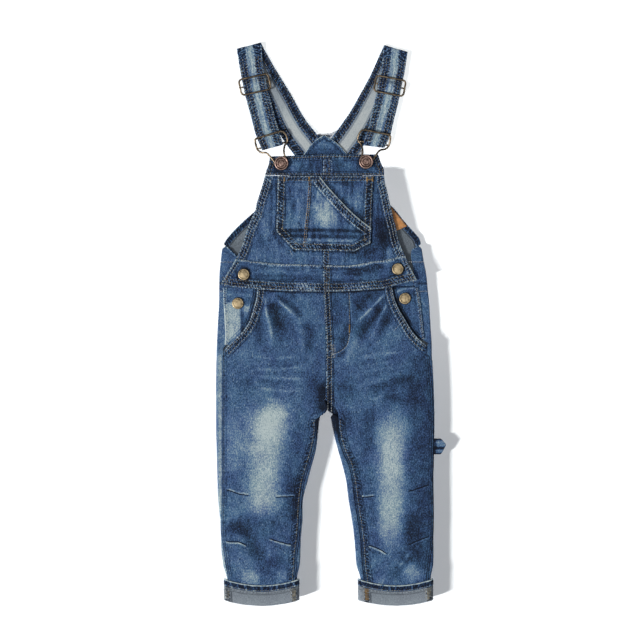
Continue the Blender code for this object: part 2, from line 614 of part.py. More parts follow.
def tube_wall(name, cuff, low_z, high_z, wall, levels, finish):
    """Open tube round a leg's end, with edges that sag towards the hem in their middle.

    levels are fractions of the way from the cuff's fold to its top edge.
    """
    centre, half = (cuff.left + cuff.right) / 2, (cuff.right - cuff.left) / 2
    grow = (high_z - CUFF_HEIGHT)
    rings = []
    for inset in (0.0, wall):
        line = stadium(cuff.left - grow + inset, cuff.right + grow - inset,
                       low_z + inset, high_z - inset)
        order = levels if inset == 0.0 else levels[::-1]
        for level in order:
            side_y = cuff.bottom + (cuff.top - cuff.bottom) * level
            sag = cuff.bottom_sag + (cuff.top_sag - cuff.bottom_sag) * level
            y = side_y - sag * np.clip(1 - ((line[:, 0] - centre) / half) ** 2, 0, 1)
            rings.append(np.stack([line[:, 0], y, line[:, 1]], -1))
    return loft(name, rings, finish, closed=True)


def cuffs():
    """Turned-up cuffs with the reverse of the cloth outside, and their folded hem strips."""
    for side, cuff in (("right", RIGHT_CUFF), ("left", LEFT_CUFF)):
        share = HEM_STRIP / (cuff.top - cuff.bottom)
        levels = np.linspace(0, 1 - share - GAP / (cuff.top - cuff.bottom), 3)
        tube_wall(f"cuff_{side}", cuff, 0.0, CUFF_HEIGHT + CLOTH, CLOTH, levels, DENIM_REVERSE)
        levels = np.linspace(1 - share, 1, 3)
        tube_wall(f"cuff_hem_{side}", cuff, 0.0, CUFF_HEIGHT + HEM_THICKNESS, HEM_THICKNESS,
                  levels, DENIM)


def edge_normal(edge):
    """Unit vector across an edge, to the left of its run from its first to its last point."""
    run = np.subtract(edge[1], edge[0])
    run = run / np.linalg.norm(run)
    return np.array([-run[1], run[0]])


def strap_rows(middle, widths, outer, inner):
    """Rows of a flat run: both edges across the middle line, at outer and inner heights."""
    middle = np.asarray(middle, float)
    ahead = np.gradient(middle, axis=0)
    ahead /= np.linalg.norm(ahead, axis=1)[:, None]
    across = np.stack([ahead[:, 1], -ahead[:, 0]], -1)
    across *= np.sign(across[:, :1])
    half = np.asarray(widths)[:, None] / 2
    left, right = middle - across * half, middle + across * half
    return [(a, b, o, i) for a, b, o, i in zip(left, right, outer, inner)]


def turn_rows(edge, away, low, high, steps=6):
    """Rows of a half turn about an edge, rising from the lower run to the upper one."""
    radius = (high - low) / 2
    rows = []
    for turn in np.linspace(-math.pi / 2, math.pi / 2, steps + 1):
        ring = []
        for reach in (radius, radius - STRAP_THICKNESS):
            back = np.asarray(edge) - away * radius + away * reach * math.cos(turn)
            ring.append((back, low + radius + reach * math.sin(turn)))
        rows.append(ring)
    return rows


def flat_ring(row):
    """Corners of a flat row: outer face from left to right, inner face back."""
    left, right, outer, inner = row
    return [(*left, outer), (*right, outer), (*right, inner), (*left, inner)]


def turned_ring(row):
    """Corners of a row in a turn, in the same order."""
    (outer, outer_z), (inner, inner_z) = row
    return [(*outer[0], outer_z), (*outer[1], outer_z), (*inner[1], inner_z), (*inner[0], inner_z)]


def front_run_levels(middle, slider):
    """Middle line of the front run at its stations, and the underside's height at each."""
    middle = np.asarray(middle, float)
    steps = np.linalg.norm(np.diff(middle, axis=0), axis=1)
    reach = np.concatenate([[0.0], np.cumsum(steps)])
    fine = np.linspace(0, reach[-1], 400)
    line = np.stack([np.interp(fine, reach, middle[:, k]) for k in (0, 1)], -1)
    centre = fine[np.argmin(np.hypot(line[:, 0] - slider.x, line[:, 1] - slider.y))]
    stations = [AFTER_FOLD]
    stations += [Station(centre + s.distance, s.base) for s in AT_SLIDER]
    stations += [Station(reach[-1] + s.distance, s.base) for s in BEFORE_HOOK]
    at = [s.distance for s in stations]
    points = np.stack([np.interp(at, reach, middle[:, k]) for k in (0, 1)], -1)
    return points, np.array([s.base for s in stations])


def strap(name, back_run, top_edge, front_run, hook_edge, slider):
    """One shoulder strap: back run, shoulder fold, front run, turn round the hook, return."""
    t = STRAP_THICKNESS
    lift = np.array([1.3, 1.3, 0.4, 0.0, 0.0])
    widths = np.linspace(BACK_STRAP_WIDTH, STRAP_WIDTH + 0.6, len(back_run))
    rings = [flat_ring(r) for r in strap_rows(back_run, widths, lift, lift + t)]
    rings += [turned_ring(r) for r in turn_rows(top_edge, edge_normal(top_edge), 0.0, TOP_FOLD)]
    middle, base = front_run_levels(front_run, slider)
    widths = np.full(len(middle), STRAP_WIDTH)
    widths[-2:] = STRAP_WIDTH - 1.5
    rings += [flat_ring(r) for r in strap_rows(middle, widths, base + t, base)]
    high = base[-1] + t
    around = turn_rows(hook_edge, -edge_normal(hook_edge), RETURN_BASE, high)
    rings += [turned_ring(r) for r in reversed(around)]
    back = np.array(front_run)[2:-1][::-1]
    low = np.full(len(back), RETURN_BASE)
    widths = np.full(len(back), STRAP_WIDTH - 2.0)
    rings += [flat_ring(r) for r in strap_rows(back, widths, low, low + t)]
    return loft(name, rings, DENIM)


def smooth_loop(points, per_span=3):
    """Closed Catmull-Rom curve through these points."""
    p1 = np.asarray(points, float)
    p0, p2, p3 = np.roll(p1, 1, 0), np.roll(p1, -1, 0), np.roll(p1, -2, 0)
    t = (np.arange(per_span) / per_span)[None, :, None]
    p0, p1, p2, p3 = (p[:, None] for p in (p0, p1, p2, p3))
    curve = 0.5 * (2 * p1 + (p2 - p0) * t + (2 * p0 - 5 * p1 + 4 * p2 - p3) * t**2
                   + (3 * p1 - p0 - 3 * p2 + p3) * t**3)
    return curve.reshape(-1, 3)


def wire_rings(path, radius, sides=8, closed=True):
    """Rings of a round wire along a path that never runs straight up."""
    path = np.asarray(path, float)
    if closed:
        ahead = np.roll(path, -1, 0) - np.roll(path, 1, 0)
    else:
        ahead = np.gradient(path, axis=0)
    ahead /= np.linalg.norm(ahead, axis=1)[:, None]
    across = np.cross(ahead, (0.0, 0.0, 1.0))
    across /= np.linalg.norm(across, axis=1)[:, None]
    up = np.cross(across, ahead)
    turn = np.linspace(0, 2 * math.pi, sides, endpoint=False)[None, :, None]
    return path[:, None] + radius * (np.cos(turn) * across[:, None] + np.sin(turn) * up[:, None])


def join(body, addition):
    """Unite a body with an addition, which is then only a hidden guide."""
    addition.hide_render = True
    addition.display_type = "WIRE"
    union = body.modifiers.new("joined", "BOOLEAN")
    union.operation = "UNION"
    union.solver = "EXACT"
    union.object = addition


def rounded_frame(slider):
    """Middle line of a slider's frame: a rectangle with round corners."""
    corner = 4.0
    x, y = slider.length / 2 - corner, slider.height / 2 - corner
    points = []
    for quarter, (cx, cy) in enumerate(((x, y), (-x, y), (-x, -y), (x, -y))):
        for step in range(4):
            turn = math.radians(90 * quarter + 30 * step)
            points.append((cx + corner * math.cos(turn), cy + corner * math.sin(turn)))
    return np.array(points)


def placed(points, slider):
    """Turn and move plan points to where a slider lies, at the level of its frame."""
    turn = math.radians(slider.angle)
    x = slider.x + points[:, 0] * math.cos(turn) - points[:, 1] * math.sin(turn)
    y = slider.y + points[:, 0] * math.sin(turn) + points[:, 1] * math.cos(turn)
    return np.stack([x, y, np.full(len(x), SLIDER_LEVEL)], -1)


def sliders():
    """Wire sliders: a frame above the strap, and a middle bar that the strap passes over."""
    for side, slider in (("right", RIGHT_SLIDER), ("left", LEFT_SLIDER)):
        frame = loft(f"slider_{side}", wire_rings(placed(rounded_frame(slider), slider), WIRE / 2),
                     BRASS, closed=True, smooth=True)
        reach = slider.length / 2
        bar = placed(np.array([(-reach, 0.0), (0.0, 0.0), (reach, 0.0)]), slider)
        join(frame, loft(f"slider_bar_{side}", wire_rings(bar, WIRE / 2 * BAR_SHARE, closed=False),
                         BRASS))


def hook_place(point, tack, side, turn):
    """Place of a hook point beside its tack button."""
    out, up = side * point.out, point.up
    x = tack[0] + out * math.cos(turn) - up * math.sin(turn)
    y = tack[1] + out * math.sin(turn) + up * math.cos(turn)
    return x, y, point.z


def hooks():
    """Wire hooks: each holds the strap's end on a bar and loops round the button's post."""
    for name, tack, side, turn in (("right", RIGHT_TACK, -1, 0.0),
                                   ("left", LEFT_TACK, 1, math.radians(LEFT_HOOK_TURN))):
        path = smooth_loop([hook_place(p, tack, side, turn) for p in HOOK_PATH])
        wire = loft(f"hook_{name}", wire_rings(path, WIRE / 2), BRASS, closed=True, smooth=True)
        bar = [hook_place(p, tack, side, turn) for p in HOOK_BAR]
        middle = np.mean(bar, axis=0)
        rings = wire_rings([bar[0], middle, bar[1]], WIRE / 2 * BAR_SHARE, closed=False)
        join(wire, loft(f"hook_bar_{name}", rings, BRASS))


def turned(name, profile, x, y, base, finish, sides=24):
    """Turned body: a profile of (radius, height) that starts and ends on the axis."""
    turn = np.linspace(0, 2 * math.pi, sides, endpoint=False)
    rings = [[(x + r * math.cos(a), y + r * math.sin(a), base + z) for a in turn]
             for r, z in profile]
    return loft(name, rings, finish, smooth=True)


def buttons():
    """Two tack buttons on posts, which hold the hooks, and four plain side buttons."""
    r, post, clear = TACK_DIAMETER / 2, 3.0, WIRE + 2 * GAP
    cap = ((post, 0.0), (post, clear), (r - 0.6, clear), (r, clear + 0.5), (r, clear + 1.2),
           (r - 0.8, clear + 1.9), (r - 1.8, clear + 1.9), (r - 2.4, clear + 1.5),
           (r * 0.4, clear + 1.7))
    for side, tack in (("right", RIGHT_TACK), ("left", LEFT_TACK)):
        turned(f"tack_button_{side}", cap, *tack, BAND_BASE + BAND_THICKNESS + GAP, COPPER)
    r = SIDE_BUTTON_DIAMETER / 2
    disc = ((r - 0.8, 0.0), (r, 0.5), (r, 1.3), (r - 0.7, 2.0), (r * 0.75, 2.3), (r * 0.3, 2.5))
    for name, (x, y, top) in SIDE_BUTTONS.items():
        turned(name, disc, x, y, top + GAP, BRASS)


def leather_patch():
    """Plain leather patch on the inside of the back, at the left armhole."""
    corner, along_edge, across = (np.array(v) for v in (PATCH_CORNER, PATCH_ALONG, PATCH_ACROSS))
    lower = (corner + across, corner + across + along_edge)
    upper = (corner, corner + along_edge)
    plan = patch(lower, upper, (lower[0], upper[0]), (lower[1], upper[1]), 2, 2)
    sheet("leather_patch", plan, CLOTH + GAP, PATCH_THICKNESS, LEATHER)


def hammer_loop():
    """Short tape sewn into the left outseam, folded out and back."""
    edge = 131.5 + GAP
    middle, wall, tip = LEG_HEIGHT / 2, CLOTH, edge + LOOP_REACH
    half = 1.0 + wall / 2
    turn = np.linspace(-math.pi / 2, math.pi / 2, 7)
    rings = []
    for radius in (half + wall / 2, half - wall / 2):
        nose = np.stack([tip - half - wall / 2 + radius * np.cos(turn),
                         middle + radius * np.sin(turn)], -1)
        line = np.vstack([(edge, middle - radius), nose, (edge, middle + radius)])
        rings.append(line)
    line = np.vstack([rings[0], rings[1][::-1]])
    half_count = len(rings[0])
    slices = []
    for y in (LOOP_TOP, (LOOP_TOP + LOOP_BOTTOM) / 2, LOOP_BOTTOM):
        slices.append(np.stack([line[:, 0], np.full(len(line), y), line[:, 1]], -1))
    loft("hammer_loop", slices, DENIM, caps=strip_caps(half_count))


def centre_over_origin():
    """Move every mesh so that the middle of the whole box stands over the origin."""
    meshes = {obj.data for obj in bpy.data.objects if obj.type == "MESH"}
    corners = np.vstack([[v.co for v in mesh.vertices] for mesh in meshes])
    middle = (corners.min(axis=0) + corners.max(axis=0)) / 2
    for mesh in meshes:
        for vertex in mesh.vertices:
            vertex.co.x -= middle[0]
            vertex.co.y -= middle[1]


def main():
    """Build the overalls piece by piece."""
    clear_scene()
    back_leg("back_leg_right", RIGHT_HIP, RIGHT_LEG, -1)
    back_leg("back_leg_left", LEFT_HIP, LEFT_LEG, 1)
    back_above_waist()
    hip_facing("hip_facing_right", RIGHT_HIP, RIGHT_MOUTH, -1)
    hip_facing("hip_facing_left", LEFT_HIP, LEFT_MOUTH, 1)
    front_leg("front_leg_right", RIGHT_MOUTH, RIGHT_LEG, RIGHT_FOLDS, -1)
    front_leg("front_leg_left", LEFT_MOUTH, LEFT_LEG, LEFT_FOLDS, 1)
    bib()
    front_waistband()
    chest_pocket()
    cuffs()
    strap("strap_right", RIGHT_BACK_RUN, RIGHT_TOP_EDGE, RIGHT_FRONT_RUN, RIGHT_HOOK_EDGE,
          RIGHT_SLIDER)
    strap("strap_left", LEFT_BACK_RUN, LEFT_TOP_EDGE, LEFT_FRONT_RUN, LEFT_HOOK_EDGE,
          LEFT_SLIDER)
    sliders()
    hooks()
    buttons()
    leather_patch()
    hammer_loop()
    centre_over_origin()


main()
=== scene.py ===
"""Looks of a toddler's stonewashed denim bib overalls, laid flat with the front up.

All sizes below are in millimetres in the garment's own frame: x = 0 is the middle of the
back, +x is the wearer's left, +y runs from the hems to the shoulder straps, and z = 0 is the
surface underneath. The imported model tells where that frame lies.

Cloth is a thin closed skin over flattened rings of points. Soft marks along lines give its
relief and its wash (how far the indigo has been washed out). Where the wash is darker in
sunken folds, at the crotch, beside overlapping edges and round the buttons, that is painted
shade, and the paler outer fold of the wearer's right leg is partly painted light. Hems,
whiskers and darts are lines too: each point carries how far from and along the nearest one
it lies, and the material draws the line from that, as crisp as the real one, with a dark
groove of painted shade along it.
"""

import json
import logging
import math
from dataclasses import dataclass, field
from enum import Enum, IntEnum
from typing import Callable, NamedTuple, Sequence

import bpy
import numpy as np
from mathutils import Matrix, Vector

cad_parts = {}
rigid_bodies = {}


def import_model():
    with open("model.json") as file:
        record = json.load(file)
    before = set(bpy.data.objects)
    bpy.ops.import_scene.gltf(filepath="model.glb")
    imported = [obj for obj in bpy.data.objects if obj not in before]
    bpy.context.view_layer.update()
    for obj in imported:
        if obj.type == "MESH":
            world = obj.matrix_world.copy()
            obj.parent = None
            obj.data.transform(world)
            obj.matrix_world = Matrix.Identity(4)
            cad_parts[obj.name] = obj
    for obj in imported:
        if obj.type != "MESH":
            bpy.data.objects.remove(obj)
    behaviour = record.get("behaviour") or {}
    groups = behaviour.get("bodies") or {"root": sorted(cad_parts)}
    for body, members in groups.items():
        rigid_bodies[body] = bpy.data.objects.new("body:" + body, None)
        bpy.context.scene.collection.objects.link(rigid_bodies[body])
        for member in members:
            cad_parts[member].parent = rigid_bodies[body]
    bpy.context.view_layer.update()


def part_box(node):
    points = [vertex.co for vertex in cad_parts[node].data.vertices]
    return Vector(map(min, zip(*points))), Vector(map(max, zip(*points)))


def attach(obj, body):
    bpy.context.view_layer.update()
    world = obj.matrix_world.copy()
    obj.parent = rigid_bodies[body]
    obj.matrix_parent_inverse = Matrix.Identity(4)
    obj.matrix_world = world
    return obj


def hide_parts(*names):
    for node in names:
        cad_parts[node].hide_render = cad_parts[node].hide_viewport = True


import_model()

Array = np.ndarray
Collection, Material, Object = bpy.types.Collection, bpy.types.Material, bpy.types.Object
Socket = bpy.types.NodeSocket
Line = Sequence[tuple[float, float]]
Stops = Sequence[tuple[float, str]]
Field = Callable[[Array, Array], Array]

log = logging.getLogger("overalls")

MM = 0.001
BODY = "root"
GAP = 0.3  # clearance between two layers or at a seam
CLOTH = 1  # one layer of denim
FAR = 60.0  # distance from a hem where there is none near
WAVES = 3.2  # bands of a wave texture at scale 1, to a unit of length
FRONT_BASE = 4.9  # underside of the front panels where they meet the side folds
LEG_HEIGHT = 5.9  # top of the side folds of the legs
HIP_HEIGHT = 3.2  # top of the pressed side folds at the hips
CENTRE_SEAM = -2.4  # centre-front seam
CROTCH = -91  # last level where both back legs still meet
LEG_END = -330  # lower ends of the legs, inside their cuffs
SIDE_TOP = -43  # where the round side folds end, below the pockets
HIP_TOP = 39.3  # upper end of the back legs
TACKS = {"right": (-52.2, 192.6), "left": (49.2, 194.4)}  # middles of the tack buttons


class Seed(IntEnum):
    """What each random field or draw is for."""

    LAY = 3  # how the front lies
    LAY_FINE = 9
    BROKEN = 41
    STREAKS = 43
    CUFF_FOLD = 601
    CUFF_PUFF = 603
    CUFF_BLOCKS = 610
    STRIPE_DRIFT = 705
    STRIPE_STREAKS = 707
    STRAP_HUMPS = 709
    RUBBED_WIRE = 751
    HAMMERED = 803
    RUBBED_BUTTON = 805


# --- numbers, lines and fields -------------------------------------------------------------


def garment_shift() -> Array:
    """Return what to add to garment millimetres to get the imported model's millimetres."""
    low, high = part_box("tack_button_right")
    middle = (np.array(low) + np.array(high)) / 2 / MM
    return np.array([middle[0] - TACKS["right"][0], middle[1] - TACKS["right"][1], 0])


SHIFT = garment_shift()


def smooth(low: float, high: float, value: Array) -> Array:
    """Return 0 below low, 1 above high and a smooth step between them."""
    t = np.clip((value - low) / (high - low), 0, 1)
    return t * t * (3 - 2 * t)


def bell(distance: Array, flat: float, soft: float) -> Array:
    """Return 1 within flat of a line, falling as a bell of width soft beyond it."""
    return np.exp(-((np.maximum(distance - flat, 0) / soft) ** 2))


def random_field(x: Array, y: Array, seed: int) -> Array:
    """Work out smooth random values that change over a distance of about 1.

    Random values on the whole coordinates are blended with smooth steps between them.

    Args:
        x: Coordinates of the points.
        y: Coordinates of the points.
        seed: Number of the field.

    Returns:
        Values from -1 to 1.
    """
    table = np.random.default_rng(seed).uniform(-1, 1, (128, 128))
    column, row = np.floor(x).astype(int), np.floor(y).astype(int)
    u, v = smooth(0, 1, x - column), smooth(0, 1, y - row)
    a, b = table[row % 128, column % 128], table[row % 128, (column + 1) % 128]
    c, d = table[(row + 1) % 128, column % 128], table[(row + 1) % 128, (column + 1) % 128]
    return (a * (1 - u) + b * u) * (1 - v) + (c * (1 - u) + d * u) * v


def cloud(x: Array, y: Array, size: float, seed: int) -> Array:
    """Return a random field with patches of this size in millimetres and finer ones."""
    broad = random_field(x / size, y / size, seed)
    return 0.65 * broad + 0.35 * random_field(x / size * 2.3, y / size * 2.3, seed + 1)


def reaches(line: Array) -> Array:
    """Return the distance along a line at each of its points."""
    steps = np.linalg.norm(np.diff(line, axis=0), axis=1)
    return np.concatenate([[0], np.cumsum(steps)])


def hermite(at: Array, stations: Array, values: Array) -> Array:
    """Interpolate smoothly: a cubic between stations, with slopes from their neighbours.

    Args:
        at: Where values are wanted, within the stations.
        stations: Rising positions at which values are known.
        values: Values at the stations, along the first axis.

    Returns:
        Values at the wanted places, along the first axis.
    """
    at, stations, values = (np.asarray(a, float) for a in (at, stations, values))
    slopes = np.gradient(values, stations, axis=0)
    i = np.clip(np.searchsorted(stations, at, side="right") - 1, 0, len(stations) - 2)
    span = stations[i + 1] - stations[i]
    t = np.clip((at - stations[i]) / span, 0, 1)
    shape = t.shape + (1,) * (values.ndim - 1)
    t, span = t.reshape(shape), span.reshape(shape)
    start = (1 + 2 * t) * (1 - t) ** 2 * values[i] + t * (1 - t) ** 2 * span * slopes[i]
    end = t * t * (3 - 2 * t) * values[i + 1] + t * t * (t - 1) * span * slopes[i + 1]
    return start + end


def curve(points: Line, step: float = 3) -> Array:
    """Smooth open curve through a few points, as a line with a point about every step."""
    knots = np.asarray(points, float)
    reach = reaches(knots)
    count = max(2, int(reach[-1] / step) + 2)
    return hermite(np.linspace(0, reach[-1], count), reach, knots)


def straight(points: Line, step: float = 2) -> Array:
    """Line with corners at these points, and points about every step between them."""
    knots = np.asarray(points, float)
    reach = reaches(knots)
    at = np.unique(np.concatenate([reach, np.arange(0, reach[-1], step)]))
    return np.stack([np.interp(at, reach, knots[:, k]) for k in range(2)], -1)


def drawn(line: Line | Array) -> Array:
    """Return a worked-out line as it is, and a few points as a smooth curve."""
    return line if isinstance(line, np.ndarray) else curve(line)


def beside(line: Line | Array, offset: float) -> Array:
    """Return a line moved sideways, to the right of its run when positive."""
    line = drawn(line)
    run = np.gradient(line, axis=0)
    run /= np.maximum(np.linalg.norm(run, axis=1), 1e-9)[:, None]
    return line + offset * np.stack([run[:, 1], -run[:, 0]], -1)


def nearest(x: Array, y: Array, line: Array) -> tuple[Array, Array]:
    """Find how far points lie from a line and along it.

    Args:
        x: Coordinates of the points.
        y: Coordinates of the points.
        line: Points of the line.

    Returns:
        Distances, positive to the right of the line's run, and positions along it.
    """
    best, place, start = np.full(x.shape, np.inf), np.zeros(x.shape), 0
    for (ax, ay), (bx, by) in zip(line, line[1:]):
        length = max(math.hypot(bx - ax, by - ay), 1e-9)
        ux, uy = (bx - ax) / length, (by - ay) / length
        ahead = np.clip((x - ax) * ux + (y - ay) * uy, 0, length)
        gap = np.hypot(x - ax - ahead * ux, y - ay - ahead * uy)
        closer = gap < np.abs(best)
        gap = np.where((x - ax) * uy - (y - ay) * ux < 0, -gap, gap)
        best, place = np.where(closer, gap, best), np.where(closer, start + ahead, place)
        start += length
    return best, place


# --- marks, hems and surfaces --------------------------------------------------------------


class Thread(Enum):
    """Sewing threads, by the name of their finish."""

    WHITE = "white_thread"
    TAN = "tan_thread"
    ORANGE = "orange_thread"


@dataclass(frozen=True)
class Mark:
    """A soft band along a line: a fold, a valley, a worn patch or a dark one. Where a valley is painted
    darker, that is painted shade.

    flat is half the width of its even middle and soft the width over which it dies away.
    """

    line: Line | Array
    soft: float
    wash: float = 0
    height: float = 0
    flat: float = 0
    ends: float = 0
    broken: float = 0


@dataclass(frozen=True)
class Hem:
    """A line that the material draws: a turned edge, a felled seam, a dart or a whisker.

    Its band lies on the side where side points: +1 to the right of the line's run, -1 to its
    left. worn is the paleness of its edge, dark the tone of its band and of the groove of
    painted shade beside it, and rope how puckered and speckled that is. rows are the offsets
    of its rows of stitches.
    """

    line: Line | Array
    width: float = 0
    side: int = 1
    rows: tuple[float, ...] = ()
    worn: float = 0.22
    dark: float = -0.16
    rope: float = 1
    height: float = 0.45
    ends: float = 0
    thread: Thread = Thread.TAN


def whisker(line: Line, worn: float = 0.13, soft: float = 1.7) -> Mark:
    """Return a narrow worn crease that dies away at both ends."""
    return Mark(line, soft, worn, 0.3, ends=14, broken=0.45)


def dart(line: Line, side: int = 1, worn: float = 0.34) -> Hem:
    """Return a knee dart: a groove darkened with painted shade, with one worn lip."""
    return Hem(line, side=side, worn=1.2 * worn, dark=-0.65, rope=0.35, height=0, ends=3)


@dataclass
class Paint:
    """Relief and wash at points of cloth, and where they lie beside the nearest hem."""

    height: Array
    wash: Array
    hem: Array  # distance from the hem's edge, distance along it, its width
    trim: Array  # its worn, dark and rope

    def values(self, reverse: Array, weave: Array) -> dict[str, Array]:
        """Return the attributes that the denim reads."""
        own = {"wash": self.wash, "hem": self.hem, "trim": self.trim}
        return {**own, "reverse": reverse, "weave": weave}


@dataclass
class Surface:
    """Face of a cloth layer: the level of its underside, and what is marked upon it."""

    level: Field
    marks: Sequence[Mark] = ()
    hems: Sequence[Hem] = ()
    tone: float = 0
    thickness: float = CLOTH
    streaks: tuple[float, float, float] = (0, 2.2, 16)  # strength, width and height

    def paint(self, x: Array, y: Array) -> Paint:
        """Sum the marks and find the nearest hem at each point.

        Args:
            x: Coordinates of the points.
            y: Coordinates of the points.

        Returns:
            What is painted there.
        """
        amount, wide, high = self.streaks
        wash = self.tone + amount * random_field(x / wide, y / high, Seed.STREAKS)
        out = Paint(np.zeros(x.shape), wash, np.zeros(x.shape + (3,)), np.zeros(x.shape + (3,)))
        for mark in self.marks:
            line = drawn(mark.line)
            near = self.within(x, y, line, mark.flat + 2.4 * mark.soft)
            gap, along = nearest(x[near], y[near], line)
            share = bell(np.abs(gap), mark.flat, mark.soft)
            share *= self.tapered(along, reaches(line)[-1], mark.ends)
            out.height[near] += mark.height * share
            if mark.broken:
                patch = random_field(along / 5, gap / 4 + line[0, 0], Seed.BROKEN)
                share = share * np.clip(1 + mark.broken * 1.6 * patch, 0, 2.2)
            out.wash[near] += mark.wash * share
        best = np.full(x.shape, FAR)
        out.hem[..., 0] = FAR
        for hem in self.hems:
            line = drawn(hem.line)
            near = self.within(x, y, line, hem.width + 9)
            gap, along = nearest(x[near], y[near], line)
            depth = gap * hem.side
            past = np.maximum(np.maximum(-depth, depth - hem.width), 0) * 10 + np.abs(depth)
            body = 1 - smooth(hem.width - 0.7, hem.width + 0.3, depth)
            body *= smooth(-0.3, 0.5, depth)
            raised = out.height[near] * (1 - body) + body * hem.height
            out.height[near] = np.maximum(out.height[near], raised)
            wins = past < best[near]
            chosen = tuple(index[wins] for index in np.nonzero(near))
            best[chosen] = past[wins]
            seed = 7 * (line[0, 0] + line[0, 1])
            out.hem[chosen] = np.stack([depth, along + seed, hem.width + 0 * along], -1)[wins]
            share = self.tapered(along, reaches(line)[-1], hem.ends)[..., None]
            out.trim[chosen] = (share * np.array([hem.worn, hem.dark, hem.rope]))[wins]
        return out

    @staticmethod
    def within(x: Array, y: Array, line: Array, reach: float) -> Array:
        """Return a mask of the points in a line's box, grown by a reach."""
        (left, low), (right, high) = line.min(0) - reach, line.max(0) + reach
        return (x > left) & (x < right) & (y > low) & (y < high)

    @staticmethod
    def tapered(along: Array, total: float, ends: float) -> Array:
        """Return 1 along a line, falling smoothly to 0 over its ends."""
        if not ends:
            return np.ones(along.shape)
        return smooth(0, ends, along) * smooth(0, ends, total - along)

    def top(self, x: Array, y: Array) -> Array:
        """Return the height of the upper face at each point."""
        x, y = np.asarray(x, float), np.asarray(y, float)
        return self.level(x, y) + self.paint(x, y).height + self.thickness


@dataclass(frozen=True)
class Row:
    """A row of stitches along a line. Stitches of a tack lie across it, this far each way."""

    line: Line | Array
    thread: Thread = Thread.WHITE
    length: float = 2.4
    gap: float = 0.6
    across: float = 0
    width: float = 0.62


def stitches(hems: Sequence[Hem]) -> list[Row]:
    """Return the rows of stitches of these hems."""
    return [Row(beside(hem.line, hem.side * offset), hem.thread)
        for hem in hems for offset in hem.rows]


# --- meshes --------------------------------------------------------------------------------


class Slot(Enum):
    """Material slots of the record."""

    DENIM = "denim"
    REVERSE = "denim_reverse"
    LEATHER = "leather"
    BRASS = "aged_brass"
    COPPER = "aged_copper"


class Held(Enum):
    """How a sheet of cloth is held."""

    LAID = "laid"
    FOLDED = "folded"


class Cap(Enum):
    """How the two end rings of a skin are closed."""

    NONE = "none"  # the rings run round to where they started
    FOLD = "fold"  # quads join the two layers of a flattened ring
    PLUG = "plug"  # one face fills the ring


def skin(rows: int, ring: int, cap: Cap) -> list[Array]:
    """Cover rows of closed rings of points with quads, and cap them.

    Args:
        rows: Number of rings.
        ring: Points in each.
        cap: How the first and the last ring are closed.

    Returns:
        Arrays of corner numbers, each with faces of one size.
    """
    grid = np.arange(rows * ring).reshape(rows, ring)
    low, high = (grid, np.roll(grid, -1, 0)) if cap is Cap.NONE else (grid[:-1], grid[1:])
    corners = (low, np.roll(low, -1, 1), np.roll(high, -1, 1), high)
    faces = [np.stack([p.ravel() for p in corners], -1)]
    if cap is Cap.FOLD:
        i = np.arange(ring // 2 - 1)
        quads = np.stack([i, ring - 1 - i, ring - 2 - i, i + 1], -1)
        faces += [quads, (quads + (rows - 1) * ring)[:, ::-1]]
    if cap is Cap.PLUG:
        faces += [grid[:1, ::-1], grid[-1:]]
    return faces


def signed_volume(points: Array, faces: Sequence[Array]) -> float:
    """Add up the signed volumes between a mesh's triangles and the middle of the frame.

    Args:
        points: Its points.
        faces: Arrays of corner numbers.

    Returns:
        The volume inside it, negative when its faces point inwards.
    """
    total = 0
    for block in faces:
        corners = points[block]
        for k in range(1, block.shape[1] - 1):
            turned = np.cross(corners[:, k], corners[:, k + 1])
            total += float((corners[:, 0] * turned).sum())
    return total / 6


def add_piece(name: str, points: Array, faces: Sequence[Array], finish: Material, slot: Slot,
        paint: dict[str, Array] | None = None) -> Object:
    """Make a smooth mesh object from garment points and let it ride on the body.

    Args:
        name: Name of the piece.
        points: Its points in garment millimetres.
        faces: Arrays of corner numbers, each with faces of one size.
        finish: Its material.
        slot: Not used.
        paint: Values at the points, by the name of their attribute.

    Returns:
        The new object.
    """
    mesh = bpy.data.meshes.new(name)
    points = points.reshape(-1, 3)
    if signed_volume(points, faces) < 0:
        faces = [block[:, ::-1] for block in faces]
    corners = np.concatenate([np.asarray(f, np.int32).ravel() for f in faces])
    sizes = np.concatenate([np.full(len(f), np.shape(f)[1], np.int32) for f in faces])
    starts = np.concatenate([[0], np.cumsum(sizes)[:-1]]).astype(np.int32)
    mesh.vertices.add(len(points))
    mesh.vertices.foreach_set("co", ((points + SHIFT) * MM).astype(np.float32).ravel())
    mesh.loops.add(len(corners))
    mesh.loops.foreach_set("vertex_index", corners)
    mesh.polygons.add(len(sizes))
    mesh.polygons.foreach_set("loop_start", starts)
    mesh.update(calc_edges=True)
    mesh.validate()
    mesh.shade_smooth()
    for label, values in (paint or {}).items():
        plain = np.size(values) == len(points)
        attribute = mesh.attributes.new(label, "FLOAT" if plain else "FLOAT_VECTOR", "POINT")
        values = np.ascontiguousarray(values, np.float32).ravel()
        attribute.data.foreach_set("value" if plain else "vector", values)
    mesh.materials.append(finish)
    piece = bpy.data.objects.new(name, mesh)
    bpy.context.scene.collection.objects.link(piece)
    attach(piece, BODY)
    log.info("%s: %d points, %d triangles", name, len(points), int((sizes - 2).sum()))
    return piece


def add_sheet(name: str, faces: tuple[Array, Array], paint: tuple[dict, dict], finish: Material,
        slot: Slot = Slot.DENIM) -> Object:
    """Make a closed thin sheet from the grids of its two faces.

    Args:
        name: Name of the piece.
        faces: Points of the outer and of the inner face, rows by columns by three.
        paint: The attributes of each face.
        finish: Its material.
        slot: The record's material slot.

    Returns:
        The new object.
    """
    points = np.concatenate([faces[0], faces[1][:, ::-1]], 1)
    joined = {key: np.concatenate([paint[0][key], paint[1][key][:, ::-1]], 1) for key in paint[0]}
    return add_piece(name, points, skin(*points.shape[:2], Cap.FOLD), finish, slot, joined)


